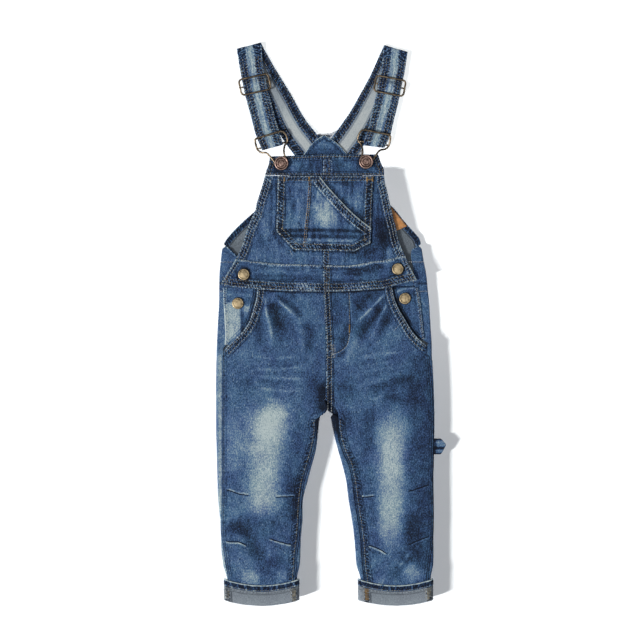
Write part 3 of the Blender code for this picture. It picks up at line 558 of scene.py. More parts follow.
def declare(held: Held, nodes: Sequence[str],
        rests_on: Sequence[str] = ()) -> None:
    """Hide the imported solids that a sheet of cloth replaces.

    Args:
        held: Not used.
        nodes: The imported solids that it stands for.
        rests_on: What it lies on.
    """
    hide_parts(*nodes)
    list(rests_on)


def graded(length: float, step: float, rim: float) -> Array:
    """Return fractions of a length about every step, closer together near both ends."""
    start = rim * np.array([0, 0.3, 0.8, 1.4]) / length
    middle = np.linspace(start[-1], 1 - start[-1], max(3, int(length / step)))
    return np.concatenate([start, middle[1:-1], 1 - start[::-1]])


def rim_share(inset: Array, rim: float) -> Array:
    """Return the share of the full thickness this far in from a rounded border."""
    inner = np.clip(inset / rim, 0, 1)
    return 0.25 + 0.75 * np.sqrt(1 - (1 - inner) ** 2)


@dataclass
class Panel:
    """A cloth panel between four edges (a Coons patch), lying on its surface's level.

    left and right run upwards, bottom and top to the right.
    """

    name: str
    left: Array
    right: Array
    surface: Surface
    finish: Material
    bottom: Array | None = None
    top: Array | None = None
    step: float = 1.3
    rim: float = 0.8
    slot: Slot = Slot.DENIM
    nodes: Sequence[str] = ()
    rests_on: Sequence[str] = ()

    def along(self, line: Array, share: Array, by_height: bool) -> Array:
        """Return points at these shares of a line's length, or of its height."""
        reach = np.abs(line[:, 1] - line[0, 1]) if by_height else reaches(line)
        reach = np.maximum.accumulate(reach)
        return np.stack([np.interp(share * reach[-1], reach, line[:, k]) for k in range(2)], -1)

    def plan(self) -> tuple[Array, Array]:
        """Blend the four edges: each pair's blend, less that of the four corners.

        Returns:
            The grid seen from above, and each point's distance from its border.
        """
        level = self.bottom is None
        bottom = np.array([self.left[0], self.right[0]]) if level else self.bottom
        top = np.array([self.left[-1], self.right[-1]]) if self.top is None else self.top
        u = graded(max(reaches(bottom)[-1], reaches(top)[-1]), self.step, self.rim)
        v = graded(max(reaches(self.left)[-1], reaches(self.right)[-1]), self.step, self.rim)
        left, right = (self.along(line, v, level)[:, None] for line in (self.left, self.right))
        low, high = (self.along(line, u, False)[None] for line in (bottom, top))
        u, v = u[None, :, None], v[:, None, None]
        grid = (1 - u) * left + u * right + (1 - v) * low + v * high
        grid -= (1 - v) * ((1 - u) * low[:, :1] + u * low[:, -1:])
        grid -= v * ((1 - u) * high[:, :1] + u * high[:, -1:])
        across = np.minimum(u, 1 - u)[..., 0] * np.linalg.norm(right - left, axis=-1)
        upward = np.minimum(v, 1 - v)[..., 0] * np.linalg.norm(high - low, axis=-1)
        return grid, np.minimum(across, upward)

    def build(self) -> Object:
        """Build the panel as a closed sheet with rounded edges, declare and return it."""
        grid, inset = self.plan()
        x, y = grid[..., 0], grid[..., 1]
        paint = self.surface.paint(x, y)
        share = rim_share(inset, self.rim)
        half = self.surface.thickness / 2
        middle = self.surface.level(x, y) + half + paint.height
        hollow = 0.6 * np.maximum(paint.height, 0) * (share > 0.6)
        upper = np.dstack([x, y, middle + half * share])
        lower = np.dstack([x, y, middle - half * share - hollow])
        weave = np.dstack([x, y, 0 * x])
        above = paint.values(0 * x, weave)
        below = {**above, "trim": 0 * paint.trim, "wash": 0 * x, "reverse": 0 * x + 1}
        piece = add_sheet(self.name, (upper, lower), (above, below), self.finish, self.slot)
        cut = (float(np.linalg.norm(grid[:, -1] - grid[:, 0], axis=-1).max()), float(np.ptp(y)))
        declare(Held.LAID, self.nodes, self.rests_on)
        return piece


# --- sewing --------------------------------------------------------------------------------


class Needle:
    """Sews rows of stitches and keeps them until each thread becomes one joined mesh.

    A stitch is a small bowed capsule: five-sided rings along it, thin at both ends, high in
    its middle, that dip into the cloth where the thread goes through.
    """

    RINGS = np.array([0, 0.12, 0.5, 0.88, 1])
    GIRTH = np.array([0.35, 0.85, 1, 0.85, 0.35])
    BOW = np.array([-0.30, 0.02, 0.20, 0.02, -0.30])
    SIDES = 5

    def __init__(self, name: str, finishes: dict[Thread, Material]) -> None:
        """Keep the name of the sub-assembly and the threads' finishes."""
        self.name = name
        self.finishes = finishes
        self.sewn: dict[Thread, list[Array]] = {}
        self.random = np.random.default_rng(sum(map(ord, name)))

    def sew(self, rows: Sequence[Row], top: Field) -> "Needle":
        """Sew rows on a face.

        Args:
            rows: The rows of stitches.
            top: Height of the face.

        Returns:
            This needle.
        """
        for row in rows:
            line = drawn(row.line)
            reach = reaches(line)
            pitch = row.gap if row.across else row.length + row.gap
            count = int(reach[-1] / pitch)
            if count < 1:
                continue
            start = np.arange(count) * pitch + self.random.uniform(-0.15, 0.15, count)
            stop = start + (row.gap / 2 if row.across else row.length)
            a, b = (np.stack([np.interp(at, reach, line[:, k]) for k in (0, 1)], -1)
                for at in (start, stop))
            if row.across:
                run = (b - a) / np.maximum(np.linalg.norm(b - a, axis=1), 1e-9)[:, None]
                side = np.stack([-run[:, 1], run[:, 0]], -1) * row.across
                a, b = a - side, b + side
            a, b = (p + self.random.normal(0, 0.08, p.shape) for p in (a, b))
            a, b = (np.column_stack([p, top(p[:, 0], p[:, 1])]) for p in (a, b))
            self.add(a, b, np.tile([0, 0, 1], (count, 1)), row.thread, row.width)
        return self

    def add(self, a: Array, b: Array, up: Array, thread: Thread, width: float) -> None:
        """Add stitches from points a to points b.

        Args:
            a: Where each stitch starts.
            b: Where each stitch ends.
            up: Directions out of the cloth.
            thread: The thread.
            width: Width of a stitch.
        """
        run = (b - a) / np.maximum(np.linalg.norm(b - a, axis=1), 1e-9)[:, None]
        side = np.cross(run, up)
        side /= np.maximum(np.linalg.norm(side, axis=1), 1e-9)[:, None]
        turn = np.linspace(0, 2 * math.pi, self.SIDES, endpoint=False)
        width = width * self.random.uniform(0.82, 1.1, len(a))[:, None, None, None]
        girth = self.GIRTH[None, :, None, None] * width / 2
        middle = a[:, None] + (b - a)[:, None] * self.RINGS[None, :, None]
        middle = middle + up[:, None] * self.BOW[None, :, None]
        cos, sin = (wave(turn)[None, None, :, None] for wave in (np.cos, np.sin))
        ring = cos * side[:, None, None] + 0.8 * sin * up[:, None, None]
        self.sewn.setdefault(thread, []).append(middle[:, :, None] + girth * ring)

    def finish(self) -> None:
        """Make one joined mesh of each thread."""
        size = len(self.RINGS) * self.SIDES
        faces = skin(len(self.RINGS), self.SIDES, Cap.PLUG)
        for thread, blocks in self.sewn.items():
            points = np.concatenate(blocks)
            shift = (np.arange(len(points)) * size)[:, None, None]
            joined = [(f[None] + shift).reshape(-1, f.shape[1]) for f in faces]
            add_piece(f"{self.name}_{thread.value}", points, joined, self.finishes[thread],
                Slot.DENIM)


# --- finishes ------------------------------------------------------------------------------


def to_linear(code: str) -> tuple[float, float, float, float]:
    """Turn an sRGB hex colour into linear light, with full opacity."""
    parts = [int(code[i:i + 2], 16) / 255 for i in (1, 3, 5)]
    linear = [p / 12.92 if p <= 0.04045 else ((p + 0.055) / 1.055) ** 2.4 for p in parts]
    return linear[0], linear[1], linear[2], 1


class Recipe:
    """A new material with its Principled shader, and a short way to add nodes to it."""

    def __init__(self, name: str, **settings: float) -> None:
        """Make the material and set its shader's own sockets."""
        self.material = bpy.data.materials.new(name)
        self.material.use_nodes = True
        self.tree = self.material.node_tree
        self.shader = self.tree.nodes["Principled BSDF"]
        for key, value in settings.items():
            self.shader.inputs[key.replace("_", " ")].default_value = value

    def node(self, kind: str, inputs: dict | Sequence = (), out: int | str = 0, stops: Stops = (),
            **settings: object) -> Socket:
        """Add a node with its settings and links.

        Args:
            kind: Its type without ShaderNode. Its operation may follow after a colon.
            inputs: Sockets to link or values to set, in order or by name or number.
            out: Which output to return.
            stops: Places and colours of its ramp, if it has one.
            settings: Properties of the node.

        Returns:
            The output.
        """
        kind, _, operation = kind.partition(":")
        made = self.tree.nodes.new("ShaderNode" + kind)
        if operation:
            made.operation = operation
        for key, value in settings.items():
            setattr(made, key, value)
        for key, value in inputs.items() if isinstance(inputs, dict) else enumerate(inputs):
            if isinstance(value, Socket):
                self.tree.links.new(value, made.inputs[key])
            else:
                made.inputs[key].default_value = value
        elements = made.color_ramp.elements if stops else ()
        while len(elements) < len(stops):
            elements.new(0.5)
        for element, (place, code) in zip(elements, stops):
            element.position, element.color = place, to_linear(code)
        return made.outputs[out]

    def grains(self, place: Socket, width: float, length: float, detail: float = 2) -> Socket:
        """Return random grains of this width and length, in the unit of the place."""
        scale = (1 / width, 1 / length, 1 / width)
        scaled = self.node("Mapping", {"Vector": place, "Scale": scale})
        return self.node("TexNoise",
            {"Vector": scaled, "Scale": 1, "Detail": detail, "Roughness": 0.6}, "Fac")

    def weighted(self, start: object, *terms: tuple[object, object]) -> Socket:
        """Add up a start and sockets that are centred on 0.5, each times its weight."""
        for socket, weight in terms:
            centred = self.node("Math:SUBTRACT", (socket, 0.5))
            start = self.node("Math:MULTIPLY_ADD", (centred, weight, start))
        return start

    def finish(self, colour: Socket, relief: Socket, strength: float, depth: float) -> Material:
        """Link the colour and a bump of this strength and depth in millimetres.

        Args:
            colour: Socket of the base colour.
            relief: Socket of the relief.
            strength: Strength of the bump.
            depth: Its depth in millimetres.

        Returns:
            The material.
        """
        self.tree.links.new(colour, self.shader.inputs["Base Color"])
        bump = self.node("Bump", {"Strength": strength, "Distance": depth * MM, "Height": relief})
        self.tree.links.new(bump, self.shader.inputs["Normal"])
        return self.material


@dataclass(frozen=True)
class StonewashedDenim:
    """Indigo cotton twill, stonewashed: the warp is ring-dyed, so wear bares its pale core.

    The eye sees vertical slubs of thick and thin warp yarn, a fine pepper where the white
    weft shows between them, and a colour that runs from navy to a greenish bleached grey.
    The twill's real pitch of 0.7 mm is too fine to show here and is drawn at 1.4 mm.
    """

    name: str = "stonewashed_indigo_twill"
    face: Stops = ((0, "#0b1322"), (0.18, "#1c2b42"), (0.38, "#335078"), (0.52, "#4a6a94"),
        (0.68, "#7189a0"), (0.84, "#9aadb5"), (1, "#b9c7ca"))
    inner: Stops = ((0, "#20262e"), (0.35, "#5d6670"), (0.55, "#848e99"), (0.75, "#a3adb4"),
        (1, "#c6cacb"))
    middle: float = 0.42
    # widths and lengths of its grains
    slub: tuple[float, float] = (0.9, 9)
    short_slub: tuple[float, float] = (0.8, 2.6)
    pepper: tuple[float, float] = (0.95, 1.9)
    mottle: tuple[float, float] = (5, 8)
    blotch: tuple[float, float] = (26, 34)
    twill_pitch: float = 1.4
    twill_slant: float = 27
    bump: float = 0.4
    # the same of a hem
    wander: tuple[float, float] = (9, 5)
    patch: tuple[float, float] = (3, 7)
    pucker: tuple[float, float] = (3.4, 1.9)
    fleck: tuple[float, float] = (1.9, 1.2)
    pucker_slant: float = 25
    ladder: float = 3.4

    def lines(self, recipe: Recipe) -> tuple[Socket, Socket]:
        """Draw the hem, dart or whisker nearest to each point.

        A line at the edge is worn pale, and so, less, is one where the band ends; a dark
        groove of painted shade runs along outside that. The band between is darker, with slanted
        puckers, a ladder between the stitches and flecks where the thread has rubbed.

        Returns:
            What it adds to the wash, and its relief about 0.5.
        """
        node, smoothed = recipe.node, {"interpolation_type": "SMOOTHSTEP"}
        place = node("Attribute", out="Vector", attribute_name="hem")
        depth, _, width = node("SeparateXYZ", (place,)).node.outputs
        trim = node("Attribute", out="Vector", attribute_name="trim")
        worn, dark, rope = node("SeparateXYZ", (trim,)).node.outputs
        depth = recipe.weighted(depth, (recipe.grains(place, *self.wander), 0.9))
        past = node("Math:SUBTRACT", (depth, width))

        def stripe(value: object, middle: float, half: float) -> Socket:
            """Return a soft stripe of this half width about a value."""
            away = node("Math:ABSOLUTE", (node("Math:SUBTRACT", (value, middle)),))
            fall = node("MapRange", (away, half * 0.25, half), **smoothed)
            return node("Math:SUBTRACT", (1, fall))

        inside = node("MapRange", (depth, -0.4, 0.4), **smoothed)
        outside = node("MapRange", (past, -0.5, 0.5), **smoothed)
        band = node("Math:MULTIPLY", (inside, node("Math:SUBTRACT", (1, outside))))
        patches = node("Math:MULTIPLY_ADD", (recipe.grains(place, *self.patch), 1.8, 0.1))
        edge = node("Math:MULTIPLY", (stripe(depth, 0.40, 1.05), patches))
        lip = node("Math:MULTIPLY", (stripe(past, -0.6, 0.7), 0.5))
        pale = node("Math:MULTIPLY", (node("Math:MAXIMUM", (edge, lip)), worn))
        # painted shade: a dark line along the hem, just past its band
        groove = node("Math:MULTIPLY", (stripe(past, 1.4, 1.1), dark))
        slant = node("Mapping",
            {"Vector": place, "Rotation": (0, 0, math.radians(self.pucker_slant))})
        rung = node("TexWave", {"Vector": slant, "Scale": 1 / self.ladder / WAVES,
            "Distortion": 5, "Detail": 1, "Detail Scale": 2}, "Fac", bands_direction="Y")
        fleck = node("Math:MULTIPLY_ADD", (recipe.grains(slant, *self.fleck, 1), 3.6, -1.3))
        grains = recipe.grains(slant, *self.pucker)
        fleck = node("MapRange", (fleck, 0, 1), **smoothed)
        pucker = recipe.weighted(0, (grains, 1.2), (fleck, 0.40), (rung, 0.42))
        pucker = node("Math:MULTIPLY", (node("Math:MULTIPLY", (pucker, band)), rope))
        shade = node("Math:MULTIPLY", (dark, 1.3))
        wash = node("Math:ADD", (node("Math:MULTIPLY_ADD", (band, shade, pale)), groove))
        wash = node("Math:ADD", (wash, node("Math:MULTIPLY", (pucker, 0.85))))
        return wash, node("Math:ADD", (node("Math:ADD", (pucker, 0.5)), groove))

    def build(self) -> Material:
        """Build the material from the cloth's weave coordinates and painted attributes."""
        recipe = Recipe(self.name, Roughness=0.9, Sheen_Weight=0.08, Specular_IOR_Level=0.2)
        node, weighted = recipe.node, recipe.weighted
        weave = node("Attribute", out="Vector", attribute_name="weave")
        slub, short, pepper, mottle, blotch = (recipe.grains(weave, *size)
            for size in (self.slub, self.short_slub, self.pepper, self.mottle, self.blotch))
        turn = node("Mapping", {"Vector": weave, "Rotation": (0, 0, math.radians(self.twill_slant))})
        twill = node("TexWave", {"Vector": turn, "Scale": 1 / self.twill_pitch / WAVES,
            "Distortion": 1.2, "Detail": 1}, "Fac")
        drawn_wash, drawn_relief = self.lines(recipe)
        painted = node("Attribute", out="Fac", attribute_name="wash")
        base = node("Math:ADD", (node("Math:ADD", (painted, self.middle)), drawn_wash))
        wash = weighted(base, (slub, 0.52), (short, 0.72), (pepper, 1.05), (mottle, 0.34),
            (blotch, 0.30), (twill, 0.06))
        grey = weighted(base, (slub, 0.20), (pepper, 0.50), (mottle, 0.16), (twill, 0.05))
        reverse = node("Attribute", out="Fac", attribute_name="reverse")
        face, inner = (node("ValToRGB", (value,), stops=stops)
            for value, stops in ((wash, self.face), (grey, self.inner)))
        colour = node("Mix", {0: reverse, 6: face, 7: inner}, 2, data_type="RGBA")
        hue = weighted(0.5, (blotch, -0.04), (slub, 0.02))
        tint = node("HueSaturation", {"Hue": hue, "Color": colour})
        relief = weighted(drawn_relief, (twill, 0.3), (pepper, 0.5), (short, 0.5))
        return recipe.finish(tint, relief, self.bump, 0.3)


@dataclass(frozen=True)
class SewingThread:
    """Spun polyester topstitch thread: matt, twisted, a little dirty from the stonewash."""

    name: str
    clean: str
    dirty: str

    def build(self) -> Material:
        """Build the material, dirtied in patches a few stitches long."""
        recipe = Recipe(self.name, Roughness=0.75)
        place = recipe.node("TexCoord", out="Object")
        patches, twist = (recipe.grains(place, size * MM, size * MM) for size in (4, 0.5))
        colour = recipe.node("ValToRGB", (patches,), stops=((0.38, self.dirty), (0.62, self.clean)))
        return recipe.finish(colour, twist, 0.3, 0.1)


@dataclass(frozen=True)
class AgedMetal:
    """Plated steel or brass, antiqued: dark in its recesses and rubbed bright on top."""

    name: str
    dark: str
    bright: str
    roughness: float
    grain: float  # size of the tarnish spots in millimetres

    def build(self) -> Material:
        """Build the metal with tarnish spots and fine scratches in its bump."""
        recipe = Recipe(self.name, Metallic=1)
        node = recipe.node
        place = node("TexCoord", out="Object")
        spots = recipe.grains(place, self.grain * MM, self.grain * MM, 3)
        worn = node("Attribute", out="Fac", attribute_name="worn")
        share = node("Math:MULTIPLY_ADD", (spots, 0.9, worn))
        rough = node("MapRange", {0: spots, 3: self.roughness - 0.1, 4: self.roughness + 0.15})
        recipe.tree.links.new(rough, recipe.shader.inputs["Roughness"])
        colour = node("ValToRGB", (share,), stops=((0.25, self.dark), (0.85, self.bright)))
        return recipe.finish(colour, spots, 0.25, 0.1)


@dataclass(frozen=True)
class TanLeather:
    """Vegetable-tanned split leather, embossed grain of about 1 mm, drier at its edges."""

    name: str = "tan_leather"
    dark: str = "#94602f"
    light: str = "#c58a52"

    def build(self) -> Material:
        """Build the leather from grain cells and soft blotches."""
        recipe = Recipe(self.name, Roughness=0.6)
        place = recipe.node("TexCoord", out="Object")
        grain = recipe.node("TexVoronoi", {"Vector": place, "Scale": 1 / (1.1 * MM)})
        blotch = recipe.weighted(recipe.grains(place, 7 * MM, 7 * MM, 3), (grain, -0.25))
        colour = recipe.node("ValToRGB", (blotch,), stops=((0.3, self.dark), (0.65, self.light)))
        return recipe.finish(colour, grain, 0.4, 0.15)


THREADS = (SewingThread("white_thread", "#c6c9c4", "#7d868f"),
    SewingThread("tan_thread", "#a9a08a", "#656764"),
    SewingThread("orange_thread", "#a88245", "#75603f"))
BRASS = AgedMetal("antique_brass", "#4e4332", "#c0ad8b", 0.45, 1.6)
WIRE = AgedMetal("antique_brass_wire", "#685c4f", "#c0ac92", 0.36, 1.2)
COPPER = AgedMetal("antique_copper", "#3f2e2a", "#a58a80", 0.42, 1.2)


def threads() -> dict[Thread, Material]:
    """Return the finish of each thread."""
    return {Thread(thread.name): thread.build() for thread in THREADS}


@dataclass
class Finishes:
    """Every material of the overalls."""

    denim: Material = field(default_factory=StonewashedDenim().build)
    brass: Material = field(default_factory=BRASS.build)
    wire: Material = field(default_factory=WIRE.build)
    copper: Material = field(default_factory=COPPER.build)
    leather: Material = field(default_factory=TanLeather().build)
    threads: dict[Thread, Material] = field(default_factory=threads)


# --- how the garment lies ------------------------------------------------------------------


class LegRow(NamedTuple):
    """Outer silhouette and seam, and inner seam and silhouette, of a leg at one level."""

    y: float
    outer_edge: float
    outer_seam: float
    inner_seam: float
    inner_edge: float


class HipRow(NamedTuple):
    """Silhouette, end of the underlap, placket edge and side fold height at one level."""

    y: float
    edge: float
    underlap: float
    placket: float
    height: float


def table(kind: type, *rows: tuple[float, ...]) -> tuple:
    """Return rows of numbers as a table of rows of this kind."""
    return tuple(kind(*row) for row in rows)


def column(rows: Sequence[NamedTuple], label: str, y: Array) -> Array:
    """Return a column of a table at these levels, interpolated smoothly."""
    return hermite(y, [row.y for row in rows], [getattr(row, label) for row in rows])


@dataclass(frozen=True)
class Leg:
    """Cut of one leg: side is -1 for the wearer's right and +1 for the left."""

    name: str
    side: int
    rows: tuple[LegRow, ...]
    hips: tuple[HipRow, ...]
    mouth: Line

    def column(self, label: str, y: Array) -> Array:
        """Return a column of the leg's table at these levels."""
        return column(self.rows[::-1], label, y)

    def hip(self, label: str, y: Array) -> Array:
        """Return a column of the hip table at these levels."""
        return column(self.hips[::-1], label, y)

    def seam(self, which: str, y: Array) -> Array:
        """Return where a seam lies, far enough from its silhouette for the whole fold."""
        edge, seam = self.column(which + "_edge", y), self.column(which + "_seam", y)
        side = np.where(edge > seam, 1, -1)
        return edge - side * np.maximum(np.abs(edge - seam), LEG_HEIGHT / 2 + 0.1)


RIGHT_LEG = Leg("right", -1, table(LegRow,
    (SIDE_TOP, -130.4, -121.2, 1.2, 0), (-67, -130.8, -121.2, 1.2, 0),
    (CROTCH, -130.8, -121.2, 0, 0), (-101, -130.8, -121.2, 3.6, 0),
    (-106, -130.8, -121.2, 1, -2.5), (-113, -130.8, -121.2, -9.4, -6),
    (-127, -130.8, -121.2, -11.2, -8), (-151, -130, -121.2, -15.6, -10.8),
    (-169, -129.6, -121.2, -21, -15.6), (-187, -129.2, -121.2, -26.4, -20.4),
    (-211, -128.2, -121.2, -30, -26.4), (-235, -126, -121.8, -31.2, -27),
    (-259, -124.8, -121.2, -33.2, -29), (-277, -123.8, -118.2, -35.6, -29.6),
    (-290, -122, -116.5, -36, -30.4), (-301, -118.6, -114.5, -37.2, -33),
    (LEG_END, -117, -113.4, -37.2, -33.6)), table(HipRow,
    (HIP_TOP, -127.2, -114, -122.4, HIP_HEIGHT), (28.8, -127.2, -114, -122, HIP_HEIGHT),
    (4.8, -128.4, -113.5, -120.6, HIP_HEIGHT), (-19.2, -129.6, -116, -120, HIP_HEIGHT),
    (-25, -129.8, -118, -120.6, HIP_HEIGHT), (-29, -130, -122, -121, 4.3),
    (-33, -130.2, -121.6, -121.2, LEG_HEIGHT)),
    ((-81, 46), (-82.8, 28.8), (-86.4, 16.8), (-90, 4.8), (-97.2, -7.2), (-106.8, -16.8),
        (-115.2, -25.2), (-120.9, -31.2)))

LEFT_LEG = Leg("left", 1, table(LegRow,
    (SIDE_TOP, 129, 123, 1.2, 0), (-67, 130.2, 125.4, 1.2, 0),
    (CROTCH, 131, 127.2, 0, 0), (-101, 131.2, 127.4, 13, 2),
    (-106, 131.4, 127.6, 15.6, 4.6), (-113, 131.4, 127.6, 16.2, 6.8),
    (-127, 131.4, 127.8, 17, 9.6), (-151, 131, 128, 22.8, 15.6),
    (-169, 130.6, 128, 30.8, 20.8), (-187, 130.2, 128.2, 34.8, 25.2),
    (-211, 130.6, 128.4, 37.8, 28.3), (-235, 130.8, 128.4, 41.6, 32.4),
    (-259, 130.2, 127.6, 44.9, 35.4), (-277, 130.2, 124.8, 46.2, 36.8),
    (-290, 129.8, 123.2, 47, 38), (-301, 127.4, 122, 48.6, 41.6),
    (LEG_END, 126, 121.6, 50.4, 43.2)), table(HipRow,
    (HIP_TOP, 123.6, 104, 111.6, HIP_HEIGHT), (28.8, 124.8, 106, 114, HIP_HEIGHT),
    (4.8, 126.4, 108, 116.8, HIP_HEIGHT), (-12, 127.4, 111, 118.6, HIP_HEIGHT),
    (-18, 127.8, 114, 119.3, HIP_HEIGHT), (-22, 128, 123.2, 121, 4.3),
    (-26, 128.2, 122.9, 122.4, LEG_HEIGHT)),
    ((80.4, 46), (84, 28.8), (90, 15.6), (97.2, 3.6), (104.4, -8.4), (114, -19.2), (122.1, -26)))

CUFF_LIFT = CLOTH + GAP  # a leg's end lies this far up, inside its cuff


def cuff_lift(y: Array) -> Array:
    """Return how far a leg is raised at this level to lie inside its cuff."""
    return np.interp(-y, (290, 301), (0, CUFF_LIFT))


class PuffRow(NamedTuple):
    """Edges of the right and left halves of the front, and how far it rises between them."""

    y: float
    right_outer: float
    right_inner: float
    left_inner: float
    left_outer: float
    rise: float


PUFF = table(PuffRow, (LEG_END, -113, -37, 50, 122, 0), (-302, -114, -37, 48, 122, 0),
    (-286, -117, -36, 47, 123, 1.2), (-250, -121, -32.5, 44, 128, 2.2),
    (-190, -121, -27, 35, 128, 2.4), (-130, -121, -11.5, 17.5, 128, 2.4),
    (-108, -121, -2, 12, 127.5, 2.2), (-95, -121, 0.5, 1, 127, 2), (-30, -121, 1, 1.5, 122.5, 1.5),
    (10, -121, 0, 0, 120, 0.8), (45, -123, -2.4, -2.4, 112, 0.3), (66, -114, -2.4, -2.4, 101, 0.3),
    (110, -95, -2.4, -2.4, 86, 0.5), (160, -77, -2.4, -2.4, 75, 0.4), (203, -66, -2.4, -2.4, 64, 0))


def front_level(x: Array, y: Array) -> Array:
    """Level the front layer's underside: it rises between folds and seams, unevenly.

    Across each half the rise falls off with the cube of the distance from its middle.

    Args:
        x: Coordinates of the points.
        y: Coordinates of the points.

    Returns:
        Its height there.
    """
    x, y = np.asarray(x, float), np.asarray(y, float)
    levels = [row.y for row in PUFF]
    right_outer, right_inner, left_inner, left_outer, rise = (np.interp(y, levels,
        [row[k] for row in PUFF]) for k in range(1, 6))
    on_left = x > (right_inner + left_inner) / 2
    low = np.where(on_left, left_inner, right_outer)
    high = np.where(on_left, left_outer, right_inner)
    share = np.clip(np.abs(x - (low + high) / 2) / ((high - low) / 2), 0, 1)
    uneven = cloud(x, y, 46, Seed.LAY) * 0.45 + cloud(x, y, 20, Seed.LAY_FINE) * 0.15
    return FRONT_BASE + cuff_lift(y) + rise * (1 - share**3) * (1 + uneven)


# --- back ----------------------------------------------------------------------------------


@dataclass
class Side:
    """One side of a wrapped panel at each of its levels, as arrays down the panel."""

    edge: Array
    lip: Array
    wrap: Array
    height: Array
    base: Array


FLAT_END = 12  # width over which a fold's points spread where the panel lies flat
ARC_STEPS, LIP_STEPS, FLAT_STEPS = 12, 6, 44


def fold_lines(part: Side, side: int) -> tuple[Array, Array]:
    """Outer and inner line of a side fold at each level, from the underside to the lip.

    The fold is a half circle as high as the fold, and its lip runs on level from there.

    Args:
        part: Sizes of the fold.
        side: -1 at the left and +1 at the right.

    Returns:
        Two arrays of x and z, levels by points by two.
    """
    edge, lip, wrap, height, base = (sizes[:, None] for sizes in vars(part).values())
    radius = height / 2
    turn = np.linspace(-math.pi / 2, math.pi / 2, ARC_STEPS + 1)[None]
    rest = np.linspace(0, 1, LIP_STEPS + 1)[None, 1:]
    lines = []
    for reach, thick in ((radius, 0), (radius - CLOTH, CLOTH)):
        x = edge - side * radius + side * reach * np.cos(turn)
        z = base + radius + reach * np.sin(turn)
        ends = x[:, -1:] + (lip - x[:, -1:]) * rest
        level = np.repeat(z[:, -1:], LIP_STEPS, 1)
        wrapped = np.dstack([np.hstack([x, ends]), np.hstack([z, level])])
        spread = edge - side * FLAT_END * np.linspace(1, 0, ARC_STEPS + LIP_STEPS + 1)[None]
        flat = np.dstack([spread, np.zeros_like(spread) + base + thick])
        lines.append(flat + (wrapped - flat) * wrap[..., None])
    return lines[0], lines[1]


@dataclass
class WrappedPanel:
    """Back panel that wraps round one or both sides to the seams on the front."""

    name: str
    y: Array
    left: Side
    right: Side
    outside: Surface
    inside: Surface
    underside: Surface
    finish: Material
    node_name: str
    reverse: Field | None = None

    def build(self) -> Object:
        steps = np.linspace(0, 1, FLAT_STEPS + 1)[None, 1:-1, None]
        lines = []
        for a, b in zip(fold_lines(self.left, -1), fold_lines(self.right, 1)):
            flat = a[:, :1] + (b[:, :1] - a[:, :1]) * steps
            lines.append(np.concatenate([a[:, ::-1], flat, b], 1))
        y = np.repeat(self.y[:, None], lines[0].shape[1], 1)
        outer, inner = (np.dstack([line[..., 0], y, line[..., 1]]) for line in lines)
        high = outer[..., 2] > (self.left.base + 2)[:, None]
        above, below = (s.paint(outer[..., 0], y) for s in (self.outside, self.underside))
        within = self.inside.paint(inner[..., 0], y)
        shown = Paint(*(np.where(high if one.ndim == 2 else high[..., None], one, two)
            for one, two in zip(vars(above).values(), vars(below).values())))
        outer[..., 2] += shown.height
        inner[..., 2] += np.where(high, shown.height, within.height)
        steps = np.linalg.norm(np.diff(outer, axis=1), axis=-1)
        run = np.concatenate([np.zeros((len(y), 1)), np.cumsum(steps, 1)], 1)
        run += outer[:, :1, 0] - run[:, :1]
        weave = np.dstack([run, y, 0 * y])
        reverse = np.ones(y.shape) if self.reverse is None else self.reverse(inner[..., 0], y)
        paint = (shown.values(0 * y, weave), within.values(reverse, weave))
        piece = add_sheet(self.name, (outer, inner), paint, self.finish)
        cut = (float(run.max(1).max() - run.min()), float(np.ptp(self.y)))
        declare(Held.FOLDED, (self.node_name,))
        return piece


